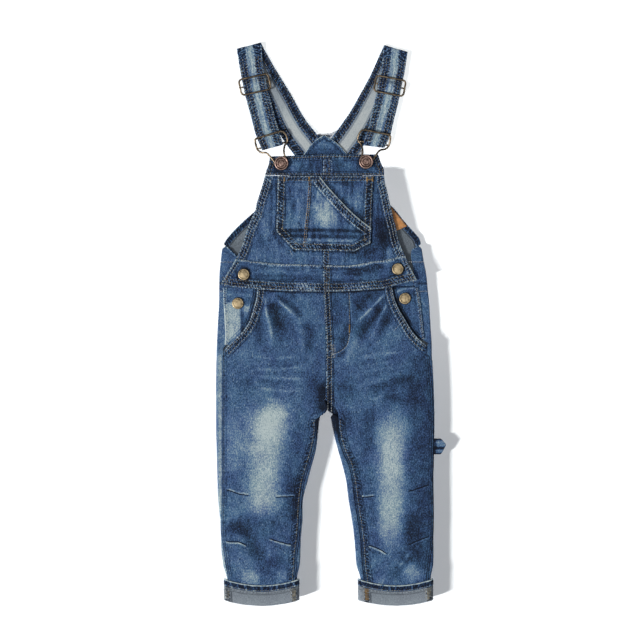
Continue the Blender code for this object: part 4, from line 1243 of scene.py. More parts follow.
@dataclass
class Backs:
    """Back panels of both legs, with the seat."""

    finish: Material
    step: float = 2.4

    def sides(self, leg: Leg, y: Array) -> tuple[Side, Side]:
        """Size the folds of a leg's back panel.

        Args:
            leg: The leg.
            y: The levels.

        Returns:
            Its outer and its inner side.
        """
        seat, base = y > SIDE_TOP, cuff_lift(y)
        low, high = np.minimum(y, SIDE_TOP), np.clip(y, -33, HIP_TOP)
        outer = Side(np.where(seat, leg.hip("edge", high), leg.column("outer_edge", low)),
            np.where(seat, leg.hip("underlap", high), leg.seam("outer", low)), np.ones_like(y),
            np.where(seat, leg.hip("height", high), LEG_HEIGHT), base)
        inner_edge = leg.column("inner_edge", np.minimum(y, CROTCH))
        inner = Side(np.where(y > CROTCH - 10, leg.side * GAP / 2, inner_edge),
            leg.seam("inner", np.minimum(y, CROTCH - 15)), smooth(0, 9, CROTCH - 13 - y),
            np.full_like(y, LEG_HEIGHT), base)
        return outer, inner

    def build(self, leg: Leg) -> None:
        """Build the back panel of one leg."""
        s = leg.side
        y = np.unique(np.concatenate([np.arange(LEG_END, HIP_TOP, self.step), [HIP_TOP],
            np.arange(-114, -90, 1)]))
        outer, inner = self.sides(leg, y)
        left, right = (outer, inner) if s < 0 else (inner, outer)
        levels, low = np.arange(LEG_END, -35, 5), np.arange(LEG_END, -112, 4.5)
        seam = np.stack([leg.seam("outer", np.minimum(levels, SIDE_TOP)), levels], -1)
        inseam = np.stack([leg.seam("inner", low), low], -1)
        outside = Surface(front_level, (
            # paler along the outer fold of the wearer's right leg, the side towards the light: painted
            # light, with seam wear
            Mark(beside(seam, s * 4.5), 3.2, 0.14 * (1 - s), broken=0.3),
            Mark(beside(inseam, -s * 6), 2, 0.06, broken=0.3),
            Mark(((s * 128, -240), (s * 128, LEG_END)), 9, -0.05),
            # painted shade at the crotch, under the front panels
            Mark(((4, -84), (4, -118)), 10, -0.42, flat=10),
        ), (
            # dark lines along the seams: painted shade in the seam
            Hem(seam, 0.6, s, worn=0.05, dark=-0.34, rope=0.3, height=0),
            Hem(inseam, 0.6, -s, worn=0.05, dark=-0.40, rope=0.4, height=0),
        ), 0.08 if s < 0 else 0)
        seat_seam = Hem(straight(((s * 0.4, 39), (s * 0.4, CROTCH))), 5, -s, worn=0.2, rope=1)
        underside = Surface(front_level, self.seat_marks(s), (seat_seam,), tone=0.02)

        def reverse(x: Array, yy: Array) -> Array:
            """Show the grey reverse, but indigo seam allowances at the crotch, darkened with painted
            shade.
            """
            return smooth(20, 27, np.abs(x - 4) + 0.5 * np.maximum(yy + 66, 0))

        # painted shade at the crotch, on the inner face
        inside = Surface(front_level, (Mark(((4, -84), (4, -122)), 14, -0.34, flat=12),))
        WrappedPanel(f"back_leg_{leg.name}_cloth", y, left, right, outside, inside, underside,
            self.finish, f"back_leg_{leg.name}", reverse).build()

    def seat_marks(self, s: int) -> tuple[Mark, ...]:
        """Return the wear of the hidden side: pale seat and calves, creases at the knees."""
        return (Mark(((s * 62, 5), (s * 66, -55)), 34, 0.22, flat=6),
            Mark(((s * 80, -150), (s * 82, -270)), 20, 0.12, flat=6),
            Mark(((s * 40, -188), (s * 78, -196), (s * 116, -186)), 3.4, 0.14, 0.5, ends=14),
            Mark(((s * 44, -212), (s * 84, -206), (s * 120, -214)), 3, 0.12, 0.4, ends=12),
            Mark(((s * 50, -230), (s * 90, -236)), 3, 0.10, 0.3, ends=12),
            Mark(((s * 8, -96), (s * 60, -70), (s * 118, -64)), 4, 0.10, 0.4, ends=20))


class BibRow(NamedTuple):
    """Edges of the back above the waist at one level, and where its wraps end."""

    y: float
    left_edge: float
    left_wrap: float
    right_edge: float
    right_wrap: float


@dataclass
class BackBody:
    """Back bib with its peak, the dark facing inside the peak, and the back waistband."""

    finish: Material
    rows: tuple[BibRow, ...] = table(BibRow, (39.6, -127.2, -112, 123.6, 104),
        (58.8, -126.8, -106, 121.8, 107), (74.7, -125.3, -104, 118.8, 104.5),
        (79.2, -124.8, -104, 118, 103.5), (88.8, -123.6, -112, 116.4, 104),
        (97, -121.2, -116, 115, 108), (103.2, -117.2, -111, 113, 103), (110.4, -111, -99, 106.8, 95),
        (126, -95, -83, 93, 81), (135.6, -84, -72, 85.8, 74), (155, -63.6, -51, 66, 54),
        (179, -42, -30, 44.4, 32), (205.2, -24, -12, 25.2, 13), (220, -12, -4, 11.4, 4),
        (227, -3.4, -1, 1, 1))
    peak_left: Line = ((-34, 190), (-24.6, 205.2), (-12.4, 219.6), (-3.2, 226.2))
    peak_right: Line = ((35, 190), (25.6, 205.2), (11.6, 219.6), (0.8, 226.2))
    waist: float = 74.5
    armhole: float = 97  # where its sides stop wrapping round
    armhole_hem: float = 6.5
    facing_level: float = 3

    def panel(self, name: str, y: Array) -> None:
        """Build a part of the back above the hips.

        Args:
            name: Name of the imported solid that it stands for.
            y: Its levels.
        """
        wrap = smooth(0, 7, self.armhole - y)
        height, base = np.full_like(y, HIP_HEIGHT), np.zeros_like(y)
        left, right = (Side(*(column(self.rows, f"{side}_{part}", y) for part in ("edge", "wrap")),
            wrap, height, base) for side in ("left", "right"))
        level = np.arange(self.armhole, 226.1, 3)
        lines = [np.stack([column(self.rows, f"{side}_edge", level), level], -1)
            for side in ("left", "right")]
        width = self.armhole_hem
        hems = [Hem(line, width, side, worn=0.30, dark=-0.26, rope=0.8)
            for line, side in zip(lines, (1, -1))]
        outside = Surface(front_level, (Mark(((-124, 88), (-118, 60)), 6, 0.10, ends=4),), (
            Hem(((-121, 97.5), (-117, 91), (-105, 79)), 4.4, -1, worn=0.42, dark=-0.2),
            Hem(((102.5, 87), (104, 76), (106.5, 60), (108, 48)), 5.2, 1, worn=0.30, dark=-0.2),
            Hem(((115, 97.5), (109.5, 92), (102.5, 87.5)), 4.4, 1, worn=0.42, dark=-0.2),
            Hem(((104, 51), (126, 50)), 0.8, worn=0.1, dark=-0.3, rope=0.6),
            Hem(((-130, 50), (-106, 52)), 0.8, worn=0.2, dark=-0.3, rope=0.6),
        ), -0.04)
        under = Surface(front_level, (Mark(((-30, 190), (30, 190)), 20, 0.08),), (*hems,
            Hem(straight(((-95, 74), (95, 74))), 1, worn=0.2, dark=-0.2),
            Hem(straight(((-1.4, 74), (-1.4, 220))), 4.4, worn=0.2)))
        shadow = Mark(((-104, 100), (-78, 132)), 5, 0.06, broken=0.3)
        inside = Surface(front_level, (shadow,), hems, -0.05)

        def reverse(x: Array, yy: Array) -> Array:
            """Show the grey reverse inside the hems."""
            gap = np.minimum(*(np.abs(nearest(x, yy, line)[0]) for line in lines))
            return smooth(width - 0.2, width + 0.8, gap) * smooth(58, 64, yy)

        WrappedPanel(f"{name}_cloth", y, left, right, outside, inside, under, self.finish, name,
            reverse).build()

    def build(self) -> None:
        """Build the back above the waist, and the facing inside its peak."""
        self.panel("back_bib", np.unique(np.concatenate([
            np.arange(self.waist + 0.2, 226, 2), np.arange(84, 100, 1), [226.9]])))
        self.panel("back_waistband", np.arange(39.6, self.waist - 0.1, 1.74))
        left, right = curve(self.peak_left, 2), curve(self.peak_right, 2)
        marks = (Mark(((-14, 212), (0, 216), (12, 212)), 4, 0.12, ends=6, broken=0.5),
            Mark(((-24, 201), (20, 200)), 3, -0.14, flat=1, ends=6))
        hems = (Hem(left, 2.6, 1, worn=0.7, rope=0.6), Hem(right, 2.6, -1, worn=0.7, rope=0.6))
        surface = Surface(lambda x, y: 0 * x + self.facing_level, marks, hems, -0.10)
        Panel("back_peak_facing_cloth", left, right, surface, self.finish, nodes=("back_peak_facing",),
            rests_on=("back_bib_cloth",)).build()


# --- front legs ----------------------------------------------------------------------------


@dataclass(frozen=True)
class Dress:
    """What one front leg carries: folds, wear and painted shade, drawn lines and rows of stitches."""

    marks: tuple[Mark, ...]
    hems: tuple[Hem, ...]
    rows: tuple[Row, ...] = ()


RIGHT_DRESS = Dress((
    # pleats below the waistband: two ridges, paler from wear and painted light, and the valleys beside
    # them, darkened with painted shade
    Mark(((-62, 34), (-53.3, 25.6), (-36, 10), (-30, 2)), 2.8, 0.10, 1.1, ends=10),
    Mark(((-72, 37), (-70.5, 16), (-66, -2), (-62.4, -30)), 2.8, 0.10, 1, ends=12),
    Mark(((-31, 8), (-28, -12), (-27, -34)), 4, 0.10, 0.8, ends=12),
    Mark(((-66, 30), (-60, 12), (-52, -10)), 6, -0.22, -1.2, ends=10),
    Mark(((-60, 36), (-38, 22), (-26, 6)), 3.4, -0.20, -1, ends=8),
    Mark(((-74, 14), (-79, -6), (-76, -28)), 5, -0.15, -0.8, ends=10),
    Mark(((-22, 6), (-17, -16), (-20, -36)), 6, -0.17, -0.9, ends=12),
    Mark(((-50, 38), (-30, 33)), 5, -0.12, -0.4, ends=8),
    Mark(((-62, 30), (-54, 4), (-48, -24)), 7, -0.13, 0, 4, ends=6),
    Mark(((-44, 2), (-42, -30)), 5, 0.05, 0.4, ends=12),
    Mark(((-98, -20), (-92, -44)), 7, 0.06, 0.3, ends=10),
    # soft bands between the whiskers, darkened with painted shade where they sink, and painted shade at
    # the crotch
    Mark(((-70, -48), (-30, -50)), 5, -0.10, -0.4, ends=16),
    Mark(((-100, -62), (-92, -84)), 7, -0.10, -0.3, 2, ends=8),
    Mark(((-84, -68), (-44, -72)), 5, -0.07, -0.4, ends=16),
    Mark(((-88, -86), (-30, -84)), 6, 0.03, 0.3, ends=16),
    Mark(((-16, -52), (-10, -96)), 9, -0.08, -0.3, 2, ends=14),
    Mark(((-1, -78), (-2, -100)), 7, -0.38, flat=1),
    # worn thigh and knee, and the darker sides of it
    Mark(((-59, -86), (-62, -110), (-70, -160), (-75, -244)), 17, 0.38, 0, 3, ends=36),
    Mark(((-58, -92), (-68, -146)), 16, 0.12, 0, 4, ends=18),
    Mark(((-80, -94), (-93, -166)), 12, 0.17, 0, 4, ends=18),
    Mark(((-52, -88), (-60, -114)), 9, 0.16, 0, 4, ends=10),
    Mark(((-80, -202), (-77, -230)), 6, 0.10, ends=6),
    Mark(((-36, -176), (-35, -240)), 9, -0.12, 0, 4, ends=12),
    Mark(((-28, -104), (-42, -170), (-46, -250)), 10, -0.07, 0, 4, ends=20),
    Mark(((-112, -96), (-111, -190)), 8, 0.13, 0.2, 3, ends=24),
    Mark(((-88, -130), (-92, -146)), 5, -0.09, -0.2, ends=6),
    Mark(((-86, -236), (-52, -244)), 14, -0.09, 0, 4, ends=10),
    Mark(((-108, -216), (-108, -240)), 8, 0.07, 0.2, ends=8),
    Mark(((-100, -286), (-92, -300)), 9, 0.08, 0, 3),
    Mark(((-102, -303), (-76, -306)), 6, 0.20, 0, 2, ends=6),
    Mark(((-60, -302), (-44, -301)), 5, 0.14, 0, 2, ends=5),
    Mark(((-44, -276), (-70, -292), (-84, -296)), 6, -0.10, -0.4, 1, ends=10),
    # creases behind the knee and down the shin, their valleys darkened with painted shade
    Mark(((-119, -240), (-100, -247), (-90, -259), (-82, -273), (-68, -279)), 7, -0.21, -2, 1,
        ends=9),
    Mark(((-108, -232), (-92, -240), (-80, -246)), 8, -0.12, -0.4, 3, ends=8),
    Mark(((-112, -250), (-100, -255), (-92, -264)), 4, 0.10, 0.8, ends=8),
    Mark(((-60, -262), (-66, -280)), 6, 0.06, 0.5, 1, ends=8),
    whisker(((-61, 33), (-53.3, 25.6), (-44, 17.6), (-33, 6.4)), 0.26, 1.2),
    whisker(((-72, 36), (-70.5, 16), (-66, -2), (-62.4, -24)), 0.26, 1.2),
    whisker(((-92, -38), (-62, -41.5), (-30, -38)), 0.12),
    whisker(((-96, -47), (-70, -46), (-40, -48)), 0.07),
    whisker(((-92, -54), (-60, -54.5), (-26, -51)), 0.14),
    whisker(((-88, -61), (-58, -64.5), (-20, -66)), 0.16),
    whisker(((-90, -70), (-56, -72.5)), 0.08),
    whisker(((-84, -76.5), (-52, -80), (-20, -78)), 0.15),
    whisker(((-80, -88), (-56, -91), (-40, -89)), 0.12),
    whisker(((-76, -95), (-58, -98)), 0.16),
), (
    dart(((-120, -196.8), (-111.6, -199.2), (-102, -202.6), (-90, -204))),
    dart(((-60, -206.2), (-42, -205.4), (-29.6, -204.6)), worn=0.40),
    dart(((-121, -261.2), (-114, -262.8), (-104.4, -262.8), (-94, -267.4)), -1, 0.5),
    dart(((-68, -258.4), (-54, -262.8), (-42, -265.8), (-34.4, -266.4)), -1, 0.46),
))

LEFT_DRESS = Dress((
    # pleats below the waistband: ridges, and valleys darkened with painted shade; painted shade at the
    # crotch
    Mark(((74, 39), (62, 25.6), (48, 11.4), (38, 1.4), (30, -10)), 2.8, 0.10, 1.1, ends=9),
    Mark(((77, 28), (69, 14), (62, -2.4), (55, -20)), 2.8, 0.12, 1, ends=10),
    Mark(((44, -4), (32, -26), (22, -52)), 7, 0.13, 0.9, ends=12),
    Mark(((70, 24), (58, 6), (46, -8), (38, -22)), 5.4, -0.22, -1.2, ends=10),
    Mark(((60, 38), (48, 30), (38, 14)), 4.5, -0.20, -1, ends=8),
    Mark(((80, 12), (70, -4), (64, -20)), 4, -0.16, -0.8, ends=8),
    Mark(((33, 6), (26, -18), (16, -46)), 5, -0.20, -0.9, 1, ends=10),
    Mark(((84, 10), (76, -12)), 6, 0.04, 0.4, ends=8),
    Mark(((14, -10), (14, -24)), 8, -0.12, 0, 3, ends=6),
    Mark(((1, -78), (2, -94)), 6, -0.30, flat=1),
    # darker hip, shin and outside, and painted shade at the crotch and in the creases across the thigh
    Mark(((12, 36), (14, 0)), 6, -0.10, flat=2),
    Mark(((34, 34), (40, -4)), 8, -0.10, flat=5),
    Mark(((62, 36), (72, 6)), 7, -0.16, flat=3),
    Mark(((18, -62), (30, -96)), 8, -0.12, 0.3, 4, ends=10),
    Mark(((66, -88), (92, -86)), 6, -0.16, flat=2, ends=6),
    Mark(((104, -224), (106, -290)), 10, -0.09, flat=4, ends=10),
    Mark(((60, -166), (60, -282)), 5, -0.08, flat=2, ends=10),
    Mark(((120, -30), (116, -100), (112, -200), (114, -300)), 12, -0.13, 0, 8, ends=10),
    Mark(((102, -60), (98, -104)), 12, -0.07, 0, 5, ends=14),
    Mark(((52, -86), (60, -78), (84, -68), (112, -62)), 5, -0.17, -1.1, 1, ends=12),
    Mark(((38, -66), (70, -56), (100, -50)), 3.4, -0.07, -0.5, 0.6, ends=14),
    Mark(((34, -52), (66, -44), (96, -38)), 3.4, -0.06, -0.5, 0.6, ends=14),
    Mark(((56, -96), (52, -130), (56, -160)), 7, -0.14, -0.2, 2, ends=14),
    Mark(((26, -100), (28, -130)), 5, -0.12, -0.2, 2, ends=8),
    # worn thigh and knee
    Mark(((84, -96), (80, -140), (79, -200), (77, -278)), 15, 0.36, 0, 3, ends=38),
    Mark(((82, -126), (79, -196)), 12, 0.10, 0, 2, ends=22),
    Mark(((36, -150), (52, -215), (54, -250)), 9, -0.06, 0, 3, ends=16),
    Mark(((100, -226), (98, -262)), 9, -0.08, 0, 3, ends=10),
    Mark(((58, -309), (74, -308)), 5, 0.16, 0, 1, ends=5),
    Mark(((80, -306), (92, -292), (100, -276)), 5, -0.16, -1.2, 1, ends=8),
    Mark(((94, -304), (112, -288)), 8, 0.26, 0.3, 3, ends=8),
    Mark(((72, -272), (86, -266)), 6, 0.07, 0.3, 1, ends=8),
    whisker(((74, 39), (62, 25.6), (48, 11.4), (37, 1)), 0.28, 1.2),
    whisker(((77, 28), (69, 14), (61, -3)), 0.26, 1.2),
    whisker(((36, -44), (64, -36), (96, -34)), 0.14),
    whisker(((36, -54), (62, -47), (90, -44)), 0.09),
    whisker(((34, -63), (64, -54), (94, -52)), 0.14),
    whisker(((34, -76), (60, -70), (86, -62)), 0.13),
    whisker(((54, -92), (70, -86), (104, -78)), 0.11),
    whisker(((84, -298), (96, -282), (106, -268)), 0.24),
), (
    dart(((37.8, -206.4), (46, -206.2), (60, -204.8)), worn=0.44),
    dart(((99.6, -202.4), (114, -198), (127, -193.4)), -1, 0.2),
    dart(((45, -265.8), (54, -267.4), (64, -271.2), (74.4, -277.2)), -1, 0.5),
    dart(((100, -266.6), (114, -260.4), (127, -255.8)), -1, 0.28),
    # fly: the shield's stitching with a bar tack, and the felled crotch seam
    Hem(((30, 38), (30, -17), (26.4, -27.6), (19.2, -33.6), (9, -37.2)), 0.2, 1,
        worn=0.24, dark=-0.18, rope=0.5, height=0),
    Hem(straight(((CENTRE_SEAM + 0.6, 38), (1.2, -19.2), (1.4, -60), (1.6, -108))), 7.6, -1,
        (2, 6.2), 0.44, -0.28, 1.1, 0.3, thread=Thread.WHITE),
), (
    Row(((29.2, 38), (29.4, -2)), Thread.TAN),
    Row(((29.4, -11), (28.6, -19), (25.4, -27), (18.6, -32.8), (9, -36.6))),
    Row(((29.4, -1), (29.4, -11)), Thread.ORANGE, gap=0.6, across=1, width=0.8),
    Row(straight(((3, -25), (12, -25), (12, -40), (3, -40)))),
    Row(((9.4, -26), (9.4, -39)), gap=1.5, across=1.3),
    # a loose end of thread on the pocket mouth
    Row(((82.7, -7.9), (95.8, 5.9)), Thread.WHITE, gap=0.05, width=0.5),
))


@dataclass
class FrontLegs:
    """Front panels of both legs, from the waistband to the cuffs, and their sewing."""

    finishes: Finishes
    mouth_width: float = 8.8

    def edges(self, leg: Leg) -> tuple[Array, Array, Array]:
        """Lay out a front panel along its seams.

        Args:
            leg: The leg that it belongs to.

        Returns:
            Its outer edge, its inner edge and the pocket mouth, all running upwards.
        """
        side = leg.side
        mouth = curve(leg.mouth[::-1], 2)
        y = np.arange(-330, mouth[0, 1] - 2, 4)
        outer = leg.seam("outer", np.minimum(y, -43)) - side * GAP
        outer = np.concatenate([np.stack([outer, y], -1), mouth])
        low = np.arange(-330, -111, 4)
        inseam = np.stack([leg.seam("inner", low) + side * GAP, low], -1)
        fork = [(row.inner_seam + side * GAP / 2, row.y) for row in leg.rows[::-1]
            if -107 < row.y < -60]
        rise = [(1.2 + side * GAP / 2, -19.2), (CENTRE_SEAM + side * GAP / 2, 46)]
        inner = np.concatenate([inseam, fork, curve([fork[-1], *rise], 4)[1:]])
        return outer, inner, mouth

    def build(self, leg: Leg, dress: Dress) -> None:
        """Build one front panel and sew it.

        Args:
            leg: The leg that it belongs to.
            dress: Its folds, lines and stitches.
        """
        s = leg.side
        outer, inner, mouth = self.edges(leg)
        seam, inseam = outer[outer[:, 1] < mouth[0, 1]], inner[inner[:, 1] < -112]
        rows = (1.2, 3, self.mouth_width - 1.4)
        hems = (Hem(mouth, self.mouth_width, -s, rows, 0.42, -0.20, 1, thread=Thread.WHITE),
            Hem(seam, 1.2, -s, worn=0.12, dark=-0.12, rope=0.5, height=0.15),
            Hem(inseam, 6, s, (1.4,), 0.10, -0.17, 0.85, 0.3), *dress.hems)
        above = Waistband.right_bottom if s < 0 else Waistband.left_bottom
        # a dark line just below the waistband: painted shadow of its edge
        surface = Surface(front_level, (*dress.marks, Mark(beside(above, 0.8), 1.5, -0.36)), hems)
        left, right = (outer, inner) if s < 0 else (inner, outer)
        Panel(f"front_leg_{leg.name}_cloth", left, right, surface, self.finishes.denim,
            nodes=(f"front_leg_{leg.name}",), rests_on=(f"back_leg_{leg.name}_cloth",)).build()
        needle = Needle(f"front_leg_{leg.name}", self.finishes.threads)
        needle.sew((*stitches(hems), *dress.rows), surface.top).finish()


@dataclass
class HipFacings:
    """Facings behind the slanted pockets; their outer edge is the buttoned placket."""

    finishes: Finishes
    level: float = 3.5
    hidden: float = 9  # width that runs on behind the front

    def build(self, leg: Leg, marks: Sequence[Mark], tone: float) -> None:
        """Build one facing with its wear and painted shade, and its stitched placket edge.

        Args:
            leg: The leg that it belongs to.
            marks: Its wear and painted shade.
            tone: How pale it is.
        """
        side = leg.side
        rows = [row for row in leg.hips if row.height == HIP_HEIGHT][::-1]
        levels = np.array([row.y for row in rows[:-1]] + [44])
        placket = curve(list(zip([row.placket for row in rows], levels)))
        mouth = curve(leg.mouth, 2)[::-1]
        inner = curve(list(zip(np.interp(levels, mouth[:, 1], mouth[:, 0]) - side * self.hidden,
            levels)))
        hem = Hem(placket, 4.2, -side, worn=0.46, dark=-0.05, rope=0.6)
        # a dark band on the facing along the pocket mouth: painted shade under the front's edge
        surface = Surface(lambda x, y: 0 * np.asarray(x) + self.level, marks,
            (hem, Hem(mouth, 2.6, side, worn=0, dark=-0.24, rope=0.2, height=0)), tone)
        left, right = (placket, inner) if side < 0 else (inner, placket)
        Panel(f"hip_facing_{leg.name}_cloth", left, right, surface, self.finishes.denim,
            nodes=(f"hip_facing_{leg.name}",), rests_on=(f"back_leg_{leg.name}_cloth",)).build()
        needle = Needle(f"hip_facing_{leg.name}", self.finishes.threads)
        row = Row(beside(placket, -side * 1.9), Thread.WHITE, gap=2.4, across=0.9)
        needle.sew((row,), surface.top).finish()


RIGHT_FACING = (
    Mark(((-112, 16), (-111, -24)), 1.4, 0.34, flat=9, broken=0.05),
    Mark(((-112, 6), (-112, -12)), 4, 0.08, flat=4),
    Mark(((-104, 38), (-92, 30)), 8, -0.08, flat=2),
    Mark(((-95, 12), (-93.5, 24)), 1.6, 0.30, flat=2.4, ends=4),
    Mark(((-99.5, 12), (-99, -10)), 2, -0.14, -0.3, 0.6),
    Mark(((-118, 2), (-104, 0)), 1.5, -0.14, -0.4, ends=4),
    Mark(((-119, 36.5), (-86, 34.5)), 1.6, 0.14, 0.5, ends=3),
)
LEFT_FACING = (
    Mark(((84, 37), (92, 41), (110, 44)), 1.4, 0.30, 0.4, ends=3),
    # painted shade inside the pocket mouth
    Mark(((84, 32), (88, 16), (100, -2)), 4, -0.24, 0, 1, ends=3),
    Mark(((104, 26), (108, 0)), 3.5, 0.10, 0, 1, ends=5),
)


# --- bib, waistband and chest pocket -------------------------------------------------------


def seamed(y: Array | Line, x: float = CENTRE_SEAM, side: int = 0) -> Array:
    """Return a straight upright line between two heights, half a gap to one side of x."""
    return straight([(x + side * GAP / 2, height) for height in y])


@dataclass
class Bib:
    """Bib halves joined by a felled centre seam, and the folded band along their top."""

    finishes: Finishes
    right_edge: Line = ((-114, 66), (-108, 76.8), (-102, 87.6), (-98.4, 97.2), (-94.8, 109.2),
        (-90, 122.4), (-84, 135.6), (-81.6, 146.4), (-78, 157.2), (-72, 177.9))
    left_edge: Line = ((101.5, 66), (97.5, 77), (94.8, 84), (91.2, 92.4), (87.6, 103.2), (85.2, 115.2),
        (81.6, 128.4), (79.2, 139.2), (76.8, 150), (74.4, 160.8), (72, 169.2), (71, 177.9))
    right_band_edge: Line = ((-72, 178.3), (-70.8, 182.4), (-67.2, 193.2), (-66, 201))
    left_band_edge: Line = ((70.8, 178.3), (70.8, 184.8), (67.2, 193.2), (63.8, 203.4))
    heights: tuple[float, float] = (66, 177.9)
    band: tuple[float, float] = (178.3, 203.4)
    side_hem: float = 9.6
    band_base: float = 4.7
    band_thickness: float = 2.2
    marks: tuple[Mark, ...] = (
        # folds, the sunken ones darkened with painted shade
        Mark(((72, 130), (76, 104), (82, 90)), 9, -0.30, -0.5, 4, ends=8),
        Mark(((22, 82), (76, 84)), 4, -0.13, flat=3, ends=6),
        Mark(((66, 166), (64, 120)), 4.5, -0.08, flat=1.5, ends=8, broken=0.3),
        Mark(((74, 112), (60, 92), (40, 82)), 4, -0.16, -0.3, 1, ends=10),
        Mark(((-70, 160), (-74, 120), (-80, 95)), 7, 0.05, 0.2, 3, ends=10),
        Mark(((-84, 118), (-72, 92)), 3, -0.10, -0.4, 1, ends=8),
        Mark(((-60, 92), (-34, 80)), 6, 0.05, 0.2, 3, ends=10),
        Mark(((-62, 172), (-63, 112), (-40, 82)), 2, -0.13, -0.3, 0.5, ends=6),
        Mark(((62, 172), (61, 104), (42, 86)), 2.6, -0.06, -0.3, 0.8, ends=6),
        Mark(((88, 98), (95, 84)), 3, 0.10, 0.3, 1, ends=5),
    )
    band_marks: tuple[Mark, ...] = (
        Mark(((-44, 196), (-30, 186)), 6, 0.10, flat=3, ends=4, broken=0.3),
        Mark(((22, 186), (34, 194)), 5, 0.06, 0.3, 2, ends=4, broken=0.3),
        Mark(((12, 192), (24, 188)), 4, -0.12, flat=1.5, ends=4, broken=0.3),
        # painted shade round each tack button
        *(Mark(((x, y + 0.1), (x, y - 0.1)), 3.6, -0.14, -0.3, 7.5) for x, y in TACKS.values()),
    )

    def halves(self, name: str, left: Line, right: Line, heights: tuple[float, float], surface: Surface,
            lies_on: tuple[str, str]) -> None:
        """Build a right and a left half that meet at the centre seam.

        Args:
            name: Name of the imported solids, without the side.
            left: Outer edge of the wearer's right half.
            right: Outer edge of the wearer's left half.
            heights: Where the centre seam starts and ends.
            surface: Their face.
            lies_on: The pieces below each half.
        """
        for side, below in zip((-1, 1), lies_on):
            middle = seamed(heights, side=side)
            edges = (curve(left, 2), middle) if side < 0 else (middle, curve(right, 2))
            label = f"{name}_{'right' if side < 0 else 'left'}"
            Panel(f"{label}_cloth", *edges, surface, self.finishes.denim, step=1.25,
                rim=surface.thickness * 0.55, nodes=(label,), rests_on=(below,)).build()

    def build(self) -> None:
        """Build both halves with their band, hems and stitches."""
        right, left = curve(self.right_edge, 2), curve(self.left_edge, 2)
        rows = (1.6, 4.6, self.side_hem - 1.2)
        hems = (Hem(right, self.side_hem, 1, rows, 0.34, -0.18, 1.25, thread=Thread.WHITE),
            Hem(left, self.side_hem, -1, rows, 0.36, -0.20, 1.25, thread=Thread.WHITE),
            Hem(seamed((64, 178)), 7.8, 1, (2.2, 6.2), 0.26, -0.14, 1, 0.35))
        # painted shadow: a dark line round the chest pocket's sides and bottom
        around = [Mark(straight(line), 2, -0.30) for line in (ChestPocket.left, ChestPocket.right,
            (ChestPocket.left[0], ChestPocket.right[0]))]
        surface = Surface(front_level, (*self.marks, *around), hems, 0.01, streaks=(0.10, 2.2, 16))
        self.halves("bib", self.right_edge, self.left_edge, self.heights, surface,
            ("back_bib_cloth", "back_bib_cloth"))
        needle = Needle("bib", self.finishes.threads)
        loose_end = Row(((-42, 88.8), (-39.5, 83), (-37.2, 81.6)), gap=0.05, width=0.5)
        needle.sew((*stitches(hems), loose_end), surface.top)
        low, top = self.band
        upper = straight(((-66, 201.2), (CENTRE_SEAM, top), (64, top)), 3)
        hems = (Hem(upper, 5.8, 1, (2.6,), 0.26, -0.10, 0.9, 0.2),
            Hem(straight(((-72, low), (71, low)), 3), 3, -1, (1.6,), 0.10, -0.14, 0.8, 0),
            Hem(curve(self.right_band_edge, 2), 7, 1, (1.8, 5.4), 0.25, -0.16, 1, 0.2),
            Hem(curve(self.left_band_edge, 2), 7, -1, (1.8, 5.4), 0.25, -0.18, 1, 0.2),
            Hem(seamed((179, 203)), 11, 1, (2.4, 7.4), 0.36, -0.06, 1.1, 0.3))
        surface = Surface(lambda x, y: np.full(np.shape(x), self.band_base), self.band_marks, hems,
            -0.09, self.band_thickness, (0.09, 2.6, 9))
        self.halves("bib_band", self.right_band_edge, self.left_band_edge, self.band, surface,
            ("bib_right_cloth", "bib_left_cloth"))
        needle.sew(stitches(hems), surface.top).finish()


